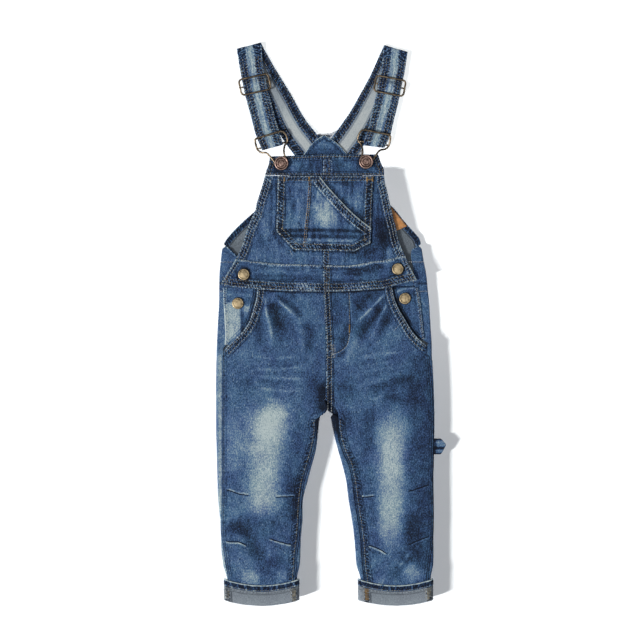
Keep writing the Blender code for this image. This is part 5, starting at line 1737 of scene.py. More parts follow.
@dataclass
class Waistband:
    """Front waistband in two halves, lying over the bib's and the legs' edges."""

    finishes: Finishes
    base_gap: float = 0.3
    thickness: float = 1.2
    right_end: Line = ((-124.8, 48), (-120, 56.4), (-114, 66), (-106.8, 78))
    right_top: Line = ((-106.8, 78), (-78, 74.4), (-54, 72), (-30, 71.4), (-2.4, 70.6))
    right_bottom: Line = ((-124.8, 48), (-114, 45), (-96, 43.2), (-81.6, 42), (-42, 39.6), (-2.4, 39))
    left_end: Line = ((110.4, 52.4), (104.4, 63.6), (99.6, 73.2), (96, 82.2))
    left_top: Line = ((-2.4, 70.6), (36, 70.8), (54, 74.4), (72, 76.8), (96, 82.2))
    left_bottom: Line = ((-2.4, 39), (30, 39.6), (54, 41.4), (72, 43.2), (90, 48), (110.4, 52.4))
    strip: float = 10  # width of the double-stitched seam along the lower edge
    marks: tuple[Mark, ...] = (
        # folds along the band, the sunken ones darkened with painted shade
        Mark(((-90, 67), (-50, 64), (-12, 63)), 2.2, 0.08, 0.2, 0.6, 10, 0.5),
        Mark(((-88, 57), (-50, 55), (-12, 55)), 2.4, -0.12, -0.2, 0.8, 10, 0.4),
        Mark(((-80, 71), (-40, 68.5), (-8, 68)), 1.2, 0.14, flat=0.2, broken=0.9),
        Mark(((16, 68), (52, 71), (84, 76)), 1.2, 0.14, flat=0.2, broken=0.9),
        Mark(((-40, 46), (-8, 45)), 3, 0.34, flat=2, ends=8, broken=0.5),
        Mark(((22, 60), (74, 65)), 5, -0.10, flat=3, ends=8),
        Mark(((-84, 48), (-60, 47)), 3, 0.08, flat=1.5, ends=8, broken=0.5),
        Mark(((16, 44.5), (60, 46)), 3, 0.15, flat=1.5, ends=10, broken=0.5),
        Mark(((16, 63), (50, 66), (76, 70)), 2.6, -0.07, -0.2, 1, 10, 0.4),
        Mark(((16, 55), (50, 57), (80, 62)), 2.4, 0.05, 0.2, 0.8, 10, 0.4),
        # painted shade round the upper side buttons
        Mark(((-97.4, 59.4), (-97, 59.2)), 2.6, -0.22, -0.3, 7),
        Mark(((87.2, 66), (87.6, 65.8)), 2.6, -0.24, -0.3, 7),
    )

    def level(self, x: Array, y: Array) -> Array:
        """Return the level of the band's underside, just clear of the panels below."""
        return front_level(x, y) + CLOTH + self.base_gap

    def build(self) -> None:
        """Build both halves and sew them."""
        right_end, right_top, right_bottom = (curve(line, 2.5)
            for line in (self.right_end, self.right_top, self.right_bottom))
        left_end, left_top, left_bottom = (curve(line, 2.5)
            for line in (self.left_end, self.left_top, self.left_bottom))
        lower = (1.6, 4.6, self.strip - 1.4)
        hems = (Hem(right_bottom, self.strip, -1, lower, 0.40, -0.18, 1.2),
            Hem(left_bottom, self.strip, -1, lower, 0.40, -0.20, 1.2),
            Hem(right_top, 2.6, 1, (1.3,), 0.42, -0.10, 0.9, 0.15, thread=Thread.WHITE),
            Hem(left_top, 2.6, 1, (1.3,), 0.42, -0.10, 0.9, 0.15, thread=Thread.WHITE),
            Hem(right_end, 6, 1, (1.6, 4.6), 0.50, -0.16, 1, thread=Thread.WHITE),
            Hem(left_end, 6.5, -1, (1.8, 5), 0.55, -0.12, 1, thread=Thread.WHITE),
            Hem(seamed((38, 71)), 8.4, 1, (2.2, 4.6, 7.4), 0.30, -0.18, 1.1, 0.4))
        surface = Surface(self.level, self.marks, hems, -0.05, self.thickness, (0.10, 13, 2.4))
        for line, end, shift in ((right_bottom, -1, -1), (right_top, -1, -1), (left_bottom, 0, 1),
                (left_top, 0, 1)):
            line[end, 0] += shift * GAP / 2
        right_middle = np.array([right_bottom[-1], right_top[-1]])
        left_middle = np.array([left_bottom[0], left_top[0]])
        for name, *edges in (("right", right_end, right_middle, right_bottom, right_top),
                ("left", left_middle, left_end, left_bottom, left_top)):
            Panel(f"waistband_{name}_cloth", *edges[:2], surface, self.finishes.denim, *edges[2:],
                step=1.25, nodes=(f"waistband_{name}",),
                rests_on=(f"bib_{name}_cloth", f"front_leg_{name}_cloth")).build()
        needle = Needle("waistband", self.finishes.threads)
        tack = Row(((-119, 52), (-117, 58), (-116, 54)), Thread.ORANGE)
        needle.sew((*stitches(hems), tack), surface.top).finish()


@dataclass
class ChestPocket:
    """Chest pocket: a back layer, and a front layer that leaves the slanted mouth open."""

    finishes: Finishes
    left: Line = ((-37.2, 88.8), (-58.2, 111), (-56.4, 177.6))
    right: Line = ((34.8, 87), (54.6, 97.2), (56.4, 148.8), (58.2, 177.6))
    mouth: Line = ((55.5, 115.2), (43, 124.6), (30, 136.2), (18, 148.8), (6, 161.8), (-7, 177.6))
    pen: Line = ((-19.2, 173), (-20.4, 154.8), (-21.6, 139.2), (-22.8, 127.2), (-24.6, 110.4),
        (-26, 90))
    mouth_width: float = 10.6
    border: float = 8.6
    top_hem: float = 6.4
    back_marks: tuple[Mark, ...] = (
        Mark(((8, 170), (44, 166)), 3, -0.10, flat=0.5, ends=8, broken=0.3),
        Mark(((32, 160), (44, 138)), 6, 0.10, 0.2, 2, ends=8, broken=0.3),
        Mark(((14, 162), (26, 150)), 4, 0.06, flat=1, ends=6, broken=0.3),
    )
    front_marks: tuple[Mark, ...] = (
        # the double crease above the lower border, painted dark as its shade
        Mark(((-54, 112), (-4, 112.4), (46, 111)), 1.3, -0.32, 0.3, 1),
        Mark(((-54, 105.4), (0, 105), (46, 104)), 1.3, -0.26, -0.2, 1.2),
        Mark(((-54, 108.8), (0, 108.8), (46, 107.8)), 0.8, -0.06, 0.4, 0.6, broken=0.6),
        Mark(((-44, 100), (40, 99)), 2.4, 0.10, 0.2, 0.8, ends=8, broken=0.5),
        # folds beside the pen slot, their valleys darkened with painted shade, and the pale worn place
        Mark(((-28, 162), (-30, 118)), 3.6, 0.13, 0.9, 1.2, ends=9, broken=0.3),
        Mark(((-41, 168), (-44, 118)), 5, -0.08, -0.5, 1.5, ends=9),
        Mark(((-35, 150), (-37, 124)), 2.4, -0.08, -0.3, ends=7),
        Mark(((-9, 168), (-3, 142), (5, 114)), 6, 0.15, 0.3, 4, 8, 0.4),
        Mark(((-8, 150), (0, 130), (16, 118)), 8, 0.15, 0.4, 4, 10, 0.3),
        Mark(((-12, 166), (-14, 124)), 3, -0.10, -0.4, 0.6, ends=10),
        Mark(((0, 168), (10, 140)), 6, 0.17, flat=2, ends=8),
        Mark(((-52, 150), (-50, 118)), 5, 0.10, flat=2, ends=6),
        Mark(((18, 140), (34, 122)), 4, 0.05, 0.3, 1, ends=6),
        Mark(((-52, 96), (-36, 102)), 4, 0.05, 0.4, 1, ends=5),
    )

    def build(self) -> None:
        """Build both layers, their hems, pen slot and tacks."""
        left, right, bottom, top, front_top = (straight(line) for line in (
            self.left, self.right, (self.left[0], self.right[0]), (self.left[2], self.right[3]),
            (self.left[2], self.mouth[-1])))
        mouth, pen = curve(self.mouth, 2), curve(self.pen, 2)
        rows = (1.5, self.border - 1.3)
        sides = tuple(Hem(line, self.border, side, rows, worn, -0.26, 1.4)
            for line, side, worn in ((left, 1, 0.46), (right, -1, 0.42), (bottom, -1, 0.38)))
        sides += (Hem(top, self.top_hem, 1, (1.4, self.top_hem - 1.2), 0.32, -0.18, 1),)
        back = Surface(lambda x, y: front_level(x, y) + CLOTH + GAP,
            # painted shadow of the front layer's slanted edge on the back layer
            (*self.back_marks, Mark(beside(mouth, 2.4), 1.6, -0.22, -0.1, 0.6, ends=4)),
            (sides[1], sides[3]), -0.02, streaks=(0.14, 2.2, 13))
        rows = (1.5, 4.2, self.mouth_width - 1.3)
        slant = Hem(mouth, self.mouth_width, -1, rows, 0.95, -0.24, 1.25, thread=Thread.WHITE)
        slot = Hem(pen, 2.4, -1, worn=0.30, dark=-0.20, rope=0.8, height=0.3)
        front = Surface(lambda x, y: back.level(x, y) + CLOTH + GAP, self.front_marks,
            (*sides, slant, slot), 0.02, streaks=(0.14, 2.2, 13))
        front_right = np.concatenate([straight((*self.right[:2], self.mouth[0])), mouth[1:]])
        below = ("bib_left_cloth", "bib_right_cloth")
        for name, edge, surface, upper_edge, rests_on in (("back", right, back, top, below),
                ("front", front_right, front, front_top, ("chest_pocket_back_cloth",))):
            Panel(f"chest_pocket_{name}_cloth", left, edge, surface, self.finishes.denim, bottom,
                upper_edge, step=1.25, nodes=(f"chest_pocket_{name}",), rests_on=rests_on).build()

        def upper(x: Array, y: Array) -> Array:
            """Return the height of the upper layer: the front one below the slanted mouth."""
            reach = np.interp(y, mouth[:, 1], mouth[:, 0])
            return np.where(x < reach - 0.4, front.top(x, y), back.top(x, y))

        tacks = [Row(((x, 176.4), (x, 170.4)), Thread.ORANGE, gap=0.7, across=1.1, width=0.8)
            for x in (-48.6, -19, 50.4, 57)]
        tacks.append(Row(((50.4, 173.4), (57, 173.4)), Thread.ORANGE, gap=0.7, across=1, width=0.8))
        slot_rows = [Row(beside(pen, offset), thread, gap=0.4, width=0.8)
            for offset, thread in ((-0.4, Thread.ORANGE), (-2.6, Thread.TAN))]
        needle = Needle("chest_pocket", self.finishes.threads)
        needle.sew((*stitches((*sides, slant)), *slot_rows, *tacks), upper).finish()


# --- cuffs ---------------------------------------------------------------------------------


@dataclass(frozen=True)
class Cuff:
    """A turned-up cuff: its sides, the levels of its fold and top, and their sag."""

    name: str
    left: float
    right: float
    blocks: float  # how marked the roped blocks of its hem strip are
    seams: tuple[tuple[float, Thread], ...]
    bottom: float = -331
    top: float = -305.5
    bottom_sag: float = 6.8
    top_sag: float = 7.8
    strip: float = 7.6

    @property
    def start(self) -> float:
        """Return where the hem strip starts, from the fold."""
        return self.top - self.bottom - self.strip

    def level(self, x: Array, rise: Array) -> Array:
        """Return the y of points at x, this far up from the fold, which sags in its middle."""
        share = rise / (self.top - self.bottom)
        half = (self.right - self.left) / 2
        bow = np.clip(1 - ((x - self.left - half) / half) ** 2, 0, 1)
        sag = self.bottom_sag + (self.top_sag - self.bottom_sag) * share
        return self.bottom + rise - sag * bow + 0.5 * cloud(x, 0 * x + 2, 22, Seed.CUFF_FOLD) * (1 - share)

    def across(self, rise: float) -> Array:
        """Return the line across the front at this distance from the fold."""
        x = np.linspace(self.left, self.right, 40)
        return np.stack([x, self.level(x, rise + 0 * x)], -1)


CUFFS = (Cuff("right", -121.2, -30.8, 0.55, ((-120.4, Thread.TAN), (-41, Thread.TAN))),
    Cuff("left", 39.6, 129.8, 0.26, ((46.4, Thread.ORANGE), (121, Thread.TAN))))


@dataclass
class Cuffs:
    """Both cuffs, with the grey reverse outside, and the dark folded hem strip on each."""

    finishes: Finishes
    inner: float = LEG_HEIGHT + CUFF_LIFT + GAP  # inner face of the cuff's front
    strip_thickness: float = 1.2
    flat_steps: int = 62
    arc_steps: int = 14
    block: float = 9.6  # length of the roped blocks of the hem strip
    overlock: float = 6.6  # width of the overlocked seam allowances

    def outline(self, cuff: Cuff, grow: float) -> tuple[Array, Array]:
        """Draw the outline of the flattened tube.

        Args:
            cuff: The cuff.
            grow: How far the outline lies outside the cuff's own.

        Returns:
            Its points as x and z, and its outward normals.
        """
        high = self.inner + CLOTH + grow
        radius = high / 2
        a, b = cuff.left - grow + radius, cuff.right + grow - radius
        run = np.linspace(0, 1, self.flat_steps + 1)[1:-1]
        turn = np.linspace(-math.pi / 2, math.pi / 2, self.arc_steps + 1)
        flat = np.zeros_like(run)
        under = np.stack([a + (b - a) * run, flat, flat, flat - 1], -1)
        over = np.stack([b + (a - b) * run, flat + high, flat, flat + 1], -1)
        cos, sin = np.cos(turn), np.sin(turn)
        east = np.stack([b + radius * cos, radius + radius * sin, cos, sin], -1)
        west = np.stack([a - radius * cos, radius - radius * sin, -cos, -sin], -1)
        line = np.vstack([under, east, over, west])
        return line[:, :2], line[:, 2:]

    def puff(self, cuff: Cuff, x: Array, y: Array) -> Array:
        """Return how far the soft fold bulges at points of the front."""
        share = np.clip((y - cuff.bottom) / (cuff.top - cuff.bottom), 0, 1)
        return 0.35 * (1 + cloud(x, y, 18, Seed.CUFF_PUFF)) * (1 - share)

    def tube(self, cuff: Cuff, name: str, low: float, high: float, wall: float, surface: Surface,
            reverse: tuple[float, float]) -> None:
        """Build a tube between two distances from the fold, with rounded ends.

        Args:
            cuff: The cuff.
            name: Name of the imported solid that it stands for.
            low: Where it starts, measured from the cuff's fold.
            high: Where it ends.
            wall: Its thickness.
            surface: Its marks.
            reverse: How much its outside and its inside show the cloth's reverse.
        """
        line, normal = self.outline(cuff, wall - CLOTH)
        radius = wall / 2
        turn = np.linspace(0, math.pi, 7)[1:-1]
        cos, sin = radius * np.cos(turn), radius * np.sin(turn)
        rise = np.linspace(low + radius, high - radius, max(4, int((high - low) / 1.2)))
        level = np.concatenate([rise, high - radius + sin, rise[::-1], low + radius - sin])[:, None]
        inset = np.concatenate([0 * rise, radius - cos, 0 * rise + wall, radius + cos])[:, None]
        x = line[None, :, 0] - inset * normal[None, :, 0]
        z = line[None, :, 1] - inset * normal[None, :, 1]
        y = cuff.level(line[None, :, 0] + 0 * level, level + 0 * x)
        paint = surface.paint(x, y)
        z = z + np.clip(normal[None, :, 1], 0, 1) * (paint.height + self.puff(cuff, x, y))
        outside = inset < radius * 1.2
        around = reaches(np.vstack([line, line[:1]]))
        weave = np.dstack([np.broadcast_to(around[None, :-1], x.shape), y, 0 * x])
        shown = np.broadcast_to(np.where(outside, *reverse), x.shape)
        slot = Slot.REVERSE if reverse[0] else Slot.DENIM
        piece = add_piece(f"{name}_cloth", np.dstack([x, y, z]), skin(*x.shape, Cap.NONE),
            self.finishes.denim, slot, paint.values(shown, weave))
        declare(Held.FOLDED, (name,),
            (f"back_leg_{cuff.name}_cloth",))

    def build(self) -> None:
        """Build both cuffs with their hem strips and overlocked seams."""
        for cuff in CUFFS:
            random = np.random.default_rng(Seed.CUFF_BLOCKS + len(cuff.name))
            whole = cuff.top - cuff.bottom
            ends = [((x + 1, cuff.bottom - 9), (x, cuff.bottom + cuff.start)) for x, _ in cuff.seams]
            sides = [Hem(straight(seam), self.overlock, 1, (), 0.26, -0.30, 1, 0.3) for seam in ends]
            sides.append(Hem(cuff.across(cuff.start - 1.4), 1.2, 1, (), 0.10, -0.14, 0.5, 0))
            body = Surface(front_level, (Mark(cuff.across(3), 3, 0.05, broken=0.3),), sides, 0.09)
            self.tube(cuff, f"cuff_{cuff.name}", 0, cuff.start - GAP, CLOTH, body, (1, 0))
            xs = np.arange(cuff.left + 6, cuff.right - 4, self.block)
            xs = xs + random.uniform(-1.6, 1.6, len(xs))
            tops = cuff.level(xs, whole + 0 * xs)
            ridges = [Mark(((x + random.uniform(1.6, 3.6), y - cuff.strip - 0.5), (x, y + 0.5)), 0.7,
                cuff.blocks * random.uniform(0.7, 1.2), 0.30) for x, y in zip(xs, tops)]
            edge = Hem(cuff.across(whole - 0.3), cuff.strip - 0.6, 1, (), 0.85, -0.25, 0.45, 0)
            strip = Surface(front_level, ridges, (edge,))
            self.tube(cuff, f"cuff_hem_{cuff.name}", cuff.start, whole, self.strip_thickness, strip,
                (0, 0))
            self.sew(cuff, body, strip)

    def sew(self, cuff: Cuff, body: Surface, strip: Surface) -> None:
        """Sew the hem strip's row and the overlocked seams of a cuff.

        Args:
            cuff: The cuff.
            body: Surface of the cuff.
            strip: Surface of the hem strip.
        """
        centre, half = (cuff.left + cuff.right) / 2, (cuff.right - cuff.left) / 2

        def top_of(surface: Surface) -> Field:
            """Return a field with the height of the cuff's front, round at its sides."""
            lift = self.inner + surface.thickness

            def top(x: Array, y: Array) -> Array:
                """Return the height at these points."""
                edge = np.clip((half - np.abs(x - centre)) / (self.inner / 2), 0, 1)
                round_off = self.inner / 2 * (1 - np.sqrt(1 - (1 - edge) ** 2))
                return lift - round_off + surface.paint(x, y).height + self.puff(cuff, x, y)
            return top

        needle = Needle(f"cuff_{cuff.name}", self.finishes.threads)
        strip.thickness = self.strip_thickness
        needle.sew((Row(cuff.across(cuff.start + 1.1)[2:-2], Thread.TAN),), top_of(strip))
        for x, thread in cuff.seams:
            foot = (x + 1, float(cuff.level(np.array(x), 2)))
            head = (x, cuff.bottom + cuff.start - 3)
            middle = straight((foot, head))
            half_way = self.overlock / 2
            overlocked = Row(beside(middle, half_way), thread, gap=1, across=half_way - 0.4)
            needle.sew((overlocked, Row(beside(middle, -1), Thread.TAN)), top_of(body))
        needle.finish()


# --- straps and their hardware -------------------------------------------------------------


class Station(NamedTuple):
    """Height of a strap's underside at a distance along its run."""

    distance: float
    base: float


@dataclass(frozen=True)
class SliderPlace:
    """Where a slider lies: its middle, its turn in degrees, and its frame's sides."""

    x: float
    y: float
    angle: float
    length: float = 36
    height: float = 19


@dataclass(frozen=True)
class StrapCut:
    """Run of one strap: up the back, over the shoulder fold, down the front, round the hook."""

    name: str
    back_run: Line
    top_edge: Line
    front_run: Line
    hook_edge: Line
    slider: SliderPlace
    inner_hem: float
    shade: float  # how much painted shade darkens its inside towards the shoulder


STRAPS = (
    StrapCut("right", ((-14.6, 203.5), (-23.7, 216), (-35.4, 231.4), (-56, 270.5), (-72.5, 300)),
        ((-106.2, 330.6), (-76.8, 338.4)), ((-88.6, 310), (-86.2, 297), (-82.2, 278), (-78, 262),
            (-75, 250.8), (-71.1, 236), (-63.8, 214.2)), ((-75.6, 208.2), (-50.4, 214.8)),
        SliderPlace(-84.2, 287.3, 12.5), 8.7, 0.26),
    StrapCut("left", ((15.6, 203.5), (27, 218.5), (40.6, 239.2), (56, 268.5), (67.4, 292)),
        ((70.8, 335.4), (99.6, 327)), ((82.4, 308), (79.8, 295), (75.9, 276), (72, 259),
            (68.6, 246), (65.4, 232), (59.2, 216)), ((46.8, 214.2), (70.4, 211.2)),
        SliderPlace(77.8, 285.6, -10.5), 7.8, 0.08),
)


@dataclass(frozen=True)
class Ribbon:
    """A strap's rings: their reach, their left and right end, and half their thickness."""

    at: Array
    middle: Array
    depth: Array
    width: float

    def points(self, reach: Array, across: float, face: int) -> tuple[Array, Array]:
        """Find points on one face of the strap.

        Args:
            reach: Their distances along the strap.
            across: Their distance from its middle line.
            face: +1 for the outer face and -1 for the inner one.

        Returns:
            The points, and the face's normals there.
        """
        ring = np.clip(np.searchsorted(self.at, reach) - 1, 0, len(self.at) - 2)
        t = ((reach - self.at[ring]) / (self.at[ring + 1] - self.at[ring]))[:, None, None]
        u = across / self.width + 0.5
        ends, thick = (rows[ring] * (1 - t) + rows[ring + 1] * t
            for rows in (self.middle, self.depth))
        out = (thick[:, 0] * (1 - u) + thick[:, 1] * u) * face
        place = ends[:, 0] * (1 - u) + ends[:, 1] * u + out
        return place, out / np.linalg.norm(out, axis=1)[:, None]


@dataclass
class Strap:
    """A shoulder strap: one long folded strip with stitched hems and a worn middle."""

    cut: StrapCut
    finishes: Finishes
    thickness: float = 1.4
    width: float = 28
    back_width: float = 36
    top_fold: float = 4.4
    return_base: float = 1.7
    outer_hem: float = 10
    return_narrowing: float = 2  # how much narrower it is beyond the hook
    pitch: float = 3.1  # from one stitch to the next
    stitch: float = 2.3
    step: float = 1.35
    step_across: float = 1.25
    rim: float = 0.7
    at_slider: tuple[Station, ...] = table(Station, (-11.6, 3.4), (-7.9, 3.4), (-1.7, 7.4),
        (1.7, 7.4), (7.9, 3.4), (11.6, 3.4))
    before_hook: tuple[Station, ...] = table(Station, (-26, 3.4), (-14, 4.4), (-5, 5.6), (0, 5.7))

    def flat_rows(self, middle: Array, widths: Array, outer: Array, inner: Array) -> Array:
        """Rows of a flat run: for the outer and the inner face, its left and right edge.

        Args:
            middle: Middle line of the run.
            widths: Width at each of its points.
            outer: Heights of the outer face.
            inner: Heights of the inner face.

        Returns:
            An array of rows by faces by edges by three coordinates.
        """
        ahead = np.gradient(middle, axis=0)
        ahead /= np.linalg.norm(ahead, axis=1)[:, None]
        across = np.stack([ahead[:, 1], -ahead[:, 0]], -1)
        across *= np.sign(across[:, :1]) * widths[:, None] / 2
        edges = np.stack([middle - across, middle + across], 1)
        faces = [np.dstack([edges, np.repeat(z[:, None], 2, 1)]) for z in (outer, inner)]
        return np.stack(faces, 1)

    def turn_rows(self, edge: Line, low: float, high: float, side: int) -> Array:
        """Rows of a half turn about an edge, rising from the lower run to the upper one.

        Args:
            edge: Left and right end of the fold's edge.
            low: Height of the lower run's outer face.
            high: Height of the upper run's outer face.
            side: +1 when the fold's edge points up the garment, -1 when down.

        Returns:
            Rows in the same form as those of a flat run.
        """
        edge = np.asarray(edge, float)
        run = (edge[1] - edge[0]) / np.linalg.norm(edge[1] - edge[0])
        away = side * np.array([-run[1], run[0]])
        radius = (high - low) / 2
        rows = []
        for turn in np.linspace(-math.pi / 2, math.pi / 2, 9):
            row = []
            for reach in (radius, radius - self.thickness):
                back = edge - away * radius + away * reach * math.cos(turn)
                height = low + radius + reach * math.sin(turn)
                row.append(np.column_stack([back, [height, height]]))
            rows.append(row)
        return np.array(rows)

    def rows(self) -> tuple[Array, float, float]:
        """Lay the strap up the back, over the shoulder, down the front and round the hook.

        Returns:
            Its rows, and how far along the shoulder fold ends and the turn starts.
        """
        cut, t = self.cut, self.thickness
        back = curve(cut.back_run)
        share = reaches(back) / reaches(back)[-1]
        lift = 1.3 * (1 - smooth(0.12, 0.45, share))
        widths = self.back_width + (self.width + 0.6 - self.back_width) * share ** 1.5
        widths += 1.4 * bell(np.abs(share - 0.26), 0, 0.2)
        first = self.flat_rows(back, widths, lift, lift + t)
        fold = self.turn_rows(cut.top_edge, 0, self.top_fold, 1)
        front = np.asarray(cut.front_run, float)
        reach = reaches(front)
        fine = np.linspace(0, reach[-1], 400)
        line = np.stack([np.interp(fine, reach, front[:, k]) for k in (0, 1)], -1)
        gap = np.hypot(line[:, 0] - cut.slider.x, line[:, 1] - cut.slider.y)
        centre = fine[np.argmin(gap)]
        stations = [Station(0, 3)]
        stations += [Station(centre + s.distance, s.base) for s in self.at_slider]
        stations += [Station(reach[-1] + s.distance, s.base) for s in self.before_hook]
        at = np.linspace(0, reach[-1], 80)
        base = hermite(at, [s.distance for s in stations], [s.base for s in stations])
        base = np.maximum(base, stations[0].base)
        widths = self.width - 1.5 * smooth(reach[-1] - 14, reach[-1], at)
        second = self.flat_rows(hermite(at, reach, front), widths, base + t, base)
        hook = self.turn_rows(cut.hook_edge, self.return_base, base[-1] + t, -1)[::-1]
        rest = curve(front[2:-1][::-1])
        low = np.full(len(rest), self.return_base)
        narrow = np.full(len(rest), self.width - self.return_narrowing)
        third = self.flat_rows(rest, narrow, low, low + t)
        rows = np.concatenate([first, fold, second, hook, third])
        along = reaches(rows.mean((1, 2)))
        fold_end = len(first) + len(fold)
        return rows, along[fold_end], along[fold_end + len(second)]

    def wear(self, along: Array, across: Array, outer: bool) -> Paint:
        """Return the wear, and the painted shade, of the outer or the inner face.

        The outer face has a pale middle stripe between dark roped hems; the inner one shows
        the grey reverse between its hems, darkened with painted shade towards the shoulder.

        Args:
            along: Distance along the strap.
            across: Distance from its middle line.
            outer: Which of the faces.

        Returns:
            What is painted there.
        """
        side, half = np.abs(across), self.width / 2
        hem = self.outer_hem if outer else self.cut.inner_hem
        place = np.dstack([half - side, along + 40 * (across > 0), hem + 0 * side])
        trim = np.broadcast_to((0.36, -0.16, 1.2) if outer else (0.34, -0.26, 1), place.shape)
        if outer:
            drift = 1.2 * random_field(along / 26, 0 * along + 5, Seed.STRIPE_DRIFT)
            stripe = bell(np.abs(across - drift), 3, 1.6)
            streak = 0.14 * random_field(across / 1, along / 9, Seed.STRIPE_STREAKS) * stripe
            return Paint(-0.12 * stripe, 0.44 * stripe - 0.03 + streak, place, trim)
        inside = smooth(0, 1, half - side - hem)
        # painted shade: the inside darkens towards the shoulder, under the front run
        pale = 0.42 - self.cut.shade * smooth(40, 92, along)
        return Paint(-0.25 * inside, pale * inside, place, trim)

    def build(self) -> None:
        """Build the strap as a closed sheet along its run, and sew it."""
        rows, fold_end, hook = self.rows()
        stations = reaches(rows.mean((1, 2)))
        length = float(stations[-1])
        at = graded(length, self.step, self.rim) * length
        columns = rows.reshape(len(rows), -1).T
        fine = np.stack([np.interp(at, stations, each) for each in columns], -1)
        fine = fine.reshape(-1, 2, 2, 3)
        middle, depth = fine.mean(1), (fine[:, 0] - fine[:, 1]) / 2
        u = graded(self.width, self.step_across, self.rim)[None, :, None]
        centre = middle[:, :1] + (middle[:, 1:] - middle[:, :1]) * u
        thick = depth[:, :1] + (depth[:, 1:] - depth[:, :1]) * u
        normal = thick / np.linalg.norm(thick, axis=-1)[..., None]
        across = (u[..., 0] - 0.5) * self.width + 0 * at[:, None]
        along = at[:, None] + 0 * across
        half = self.width / 2
        inset = np.minimum(half - np.abs(across), np.minimum(along, length - along))
        share = rim_share(inset, self.rim)[..., None]
        outer, inner = self.wear(along, across, True), self.wear(along, across, False)
        quiet = smooth(0, 14, np.abs(along - hook)) * (along > fold_end)
        quiet *= 1 - bell(np.abs(along - fold_end - 24), 14, 6)
        hump = 0.25 * random_field(along / 17, across / 14, Seed.STRAP_HUMPS) * quiet
        centre = centre + normal * hump[..., None]
        upper = centre + (thick + normal * outer.height[..., None]) * share
        lower = centre - (thick + normal * inner.height[..., None]) * share
        reverse = smooth(self.cut.inner_hem - 0.2, self.cut.inner_hem + 0.6, half - np.abs(across))
        weave = np.dstack([across, along, 0 * along])
        name = f"strap_{self.cut.name}"
        paint = (outer.values(0 * along, weave), inner.values(reverse, weave))
        piece = add_sheet(f"{name}_cloth", (upper, lower), paint, self.finishes.denim)
        declare(Held.FOLDED, (name,))
        self.sew(Ribbon(at, middle, depth, self.width), fold_end, hook)

    def sew(self, ribbon: Ribbon, fold_end: float, hook: float) -> None:
        """Sew the hems: on the outer face along the front, on the inner face up the back.

        Args:
            ribbon: The strap's rings.
            fold_end: Where the shoulder fold ends.
            hook: Where the turn round the hook starts.
        """
        needle = Needle(f"strap_{self.cut.name}", self.finishes.threads)
        spots = ((1, fold_end - 10, hook + 3, (1.7, 4.8, 8.4)),
            (-1, 6, fold_end - 8, (1.8, self.cut.inner_hem - 1.6)))
        for face, start, stop, offsets in spots:
            for across in [side * (self.width / 2 - inset) for inset in offsets for side in (-1, 1)]:
                a = np.arange(start, stop - 3, self.pitch)
                a += needle.random.uniform(-0.3, 0.3, len(a))
                (one, up), (two, _) = (ribbon.points(reach, across, face)
                    for reach in (a, a + self.stitch))
                needle.add(one, two, up, Thread.TAN, Row.width)
        needle.finish()


def turning(angle: float) -> Array:
    """Return the matrix that turns rows of x and y by an angle in degrees."""
    cos, sin = math.cos(math.radians(angle)), math.sin(math.radians(angle))
    return np.array([[cos, sin], [-sin, cos]])


def smooth_loop(points: Sequence[Sequence[float]], per_span: int = 7) -> Array:
    """Draw a closed Catmull-Rom curve through a few points.

    Args:
        points: The points.
        per_span: Points from each of them to the next.

    Returns:
        Points along the curve.
    """
    p1 = np.asarray(points, float)
    p0, p2, p3 = np.roll(p1, 1, 0), np.roll(p1, -1, 0), np.roll(p1, -2, 0)
    t = (np.arange(per_span) / per_span)[None, :, None]
    p0, p1, p2, p3 = (p[:, None] for p in (p0, p1, p2, p3))
    line = 0.5 * (2 * p1 + (p2 - p0) * t + (2 * p0 - 5 * p1 + 4 * p2 - p3) * t**2
        + (3 * p1 - p0 - 3 * p2 + p3) * t**3)
    return line.reshape(-1, 3)


def wire(path: Array, radius: float, cap: Cap = Cap.PLUG, sides: int = 12) -> tuple[Array, list[Array]]:
    """Points and faces of a round wire along a path that never runs straight up.

    Args:
        path: Points along the wire.
        radius: Its radius.
        cap: NONE for a closed loop, PLUG for a wire with rounded ends.
        sides: Faces round it.

    Returns:
        Its points, and arrays of its faces.
    """
    closed = cap is Cap.NONE
    ahead = np.roll(path, -1, 0) - np.roll(path, 1, 0) if closed else np.gradient(path, axis=0)
    ahead /= np.linalg.norm(ahead, axis=1)[:, None]
    across = np.cross(ahead, (0, 0, 1))
    across /= np.linalg.norm(across, axis=1)[:, None]
    turn = np.linspace(0, 2 * math.pi, sides, endpoint=False)[None, :, None]
    girth = np.full(len(path), radius)
    if not closed:
        girth[[0, -1]] *= 0.6
    ring = np.cos(turn) * across[:, None] + np.sin(turn) * np.cross(across, ahead)[:, None]
    points = (path[:, None] + girth[:, None, None] * ring).reshape(-1, 3)
    faces = skin(len(path), sides, cap)
    if signed_volume(points, faces) < 0:
        faces = [block[:, ::-1] for block in faces]
    return points, faces


def add_wires(node_name: str, parts: Sequence[tuple[Array, list[Array]]], finish: Material) -> None:
    """Join wires into one piece that is rubbed bright in patches.

    Args:
        node_name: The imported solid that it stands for.
        parts: Points and faces of each wire.
        finish: The metal.
    """
    starts = np.cumsum([0] + [len(spots) for spots, _ in parts])
    points = np.concatenate([spots for spots, _ in parts])
    faces = [block + start for start, (_, blocks) in zip(starts, parts) for block in blocks]
    worn = 0.30 * random_field(points[:, 0] / 2, points[:, 1] / 2, Seed.RUBBED_WIRE) - 0.12
    piece = add_piece(f"{node_name}_wire", points, faces, finish, Slot.BRASS, {"worn": worn})
    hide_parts(node_name)


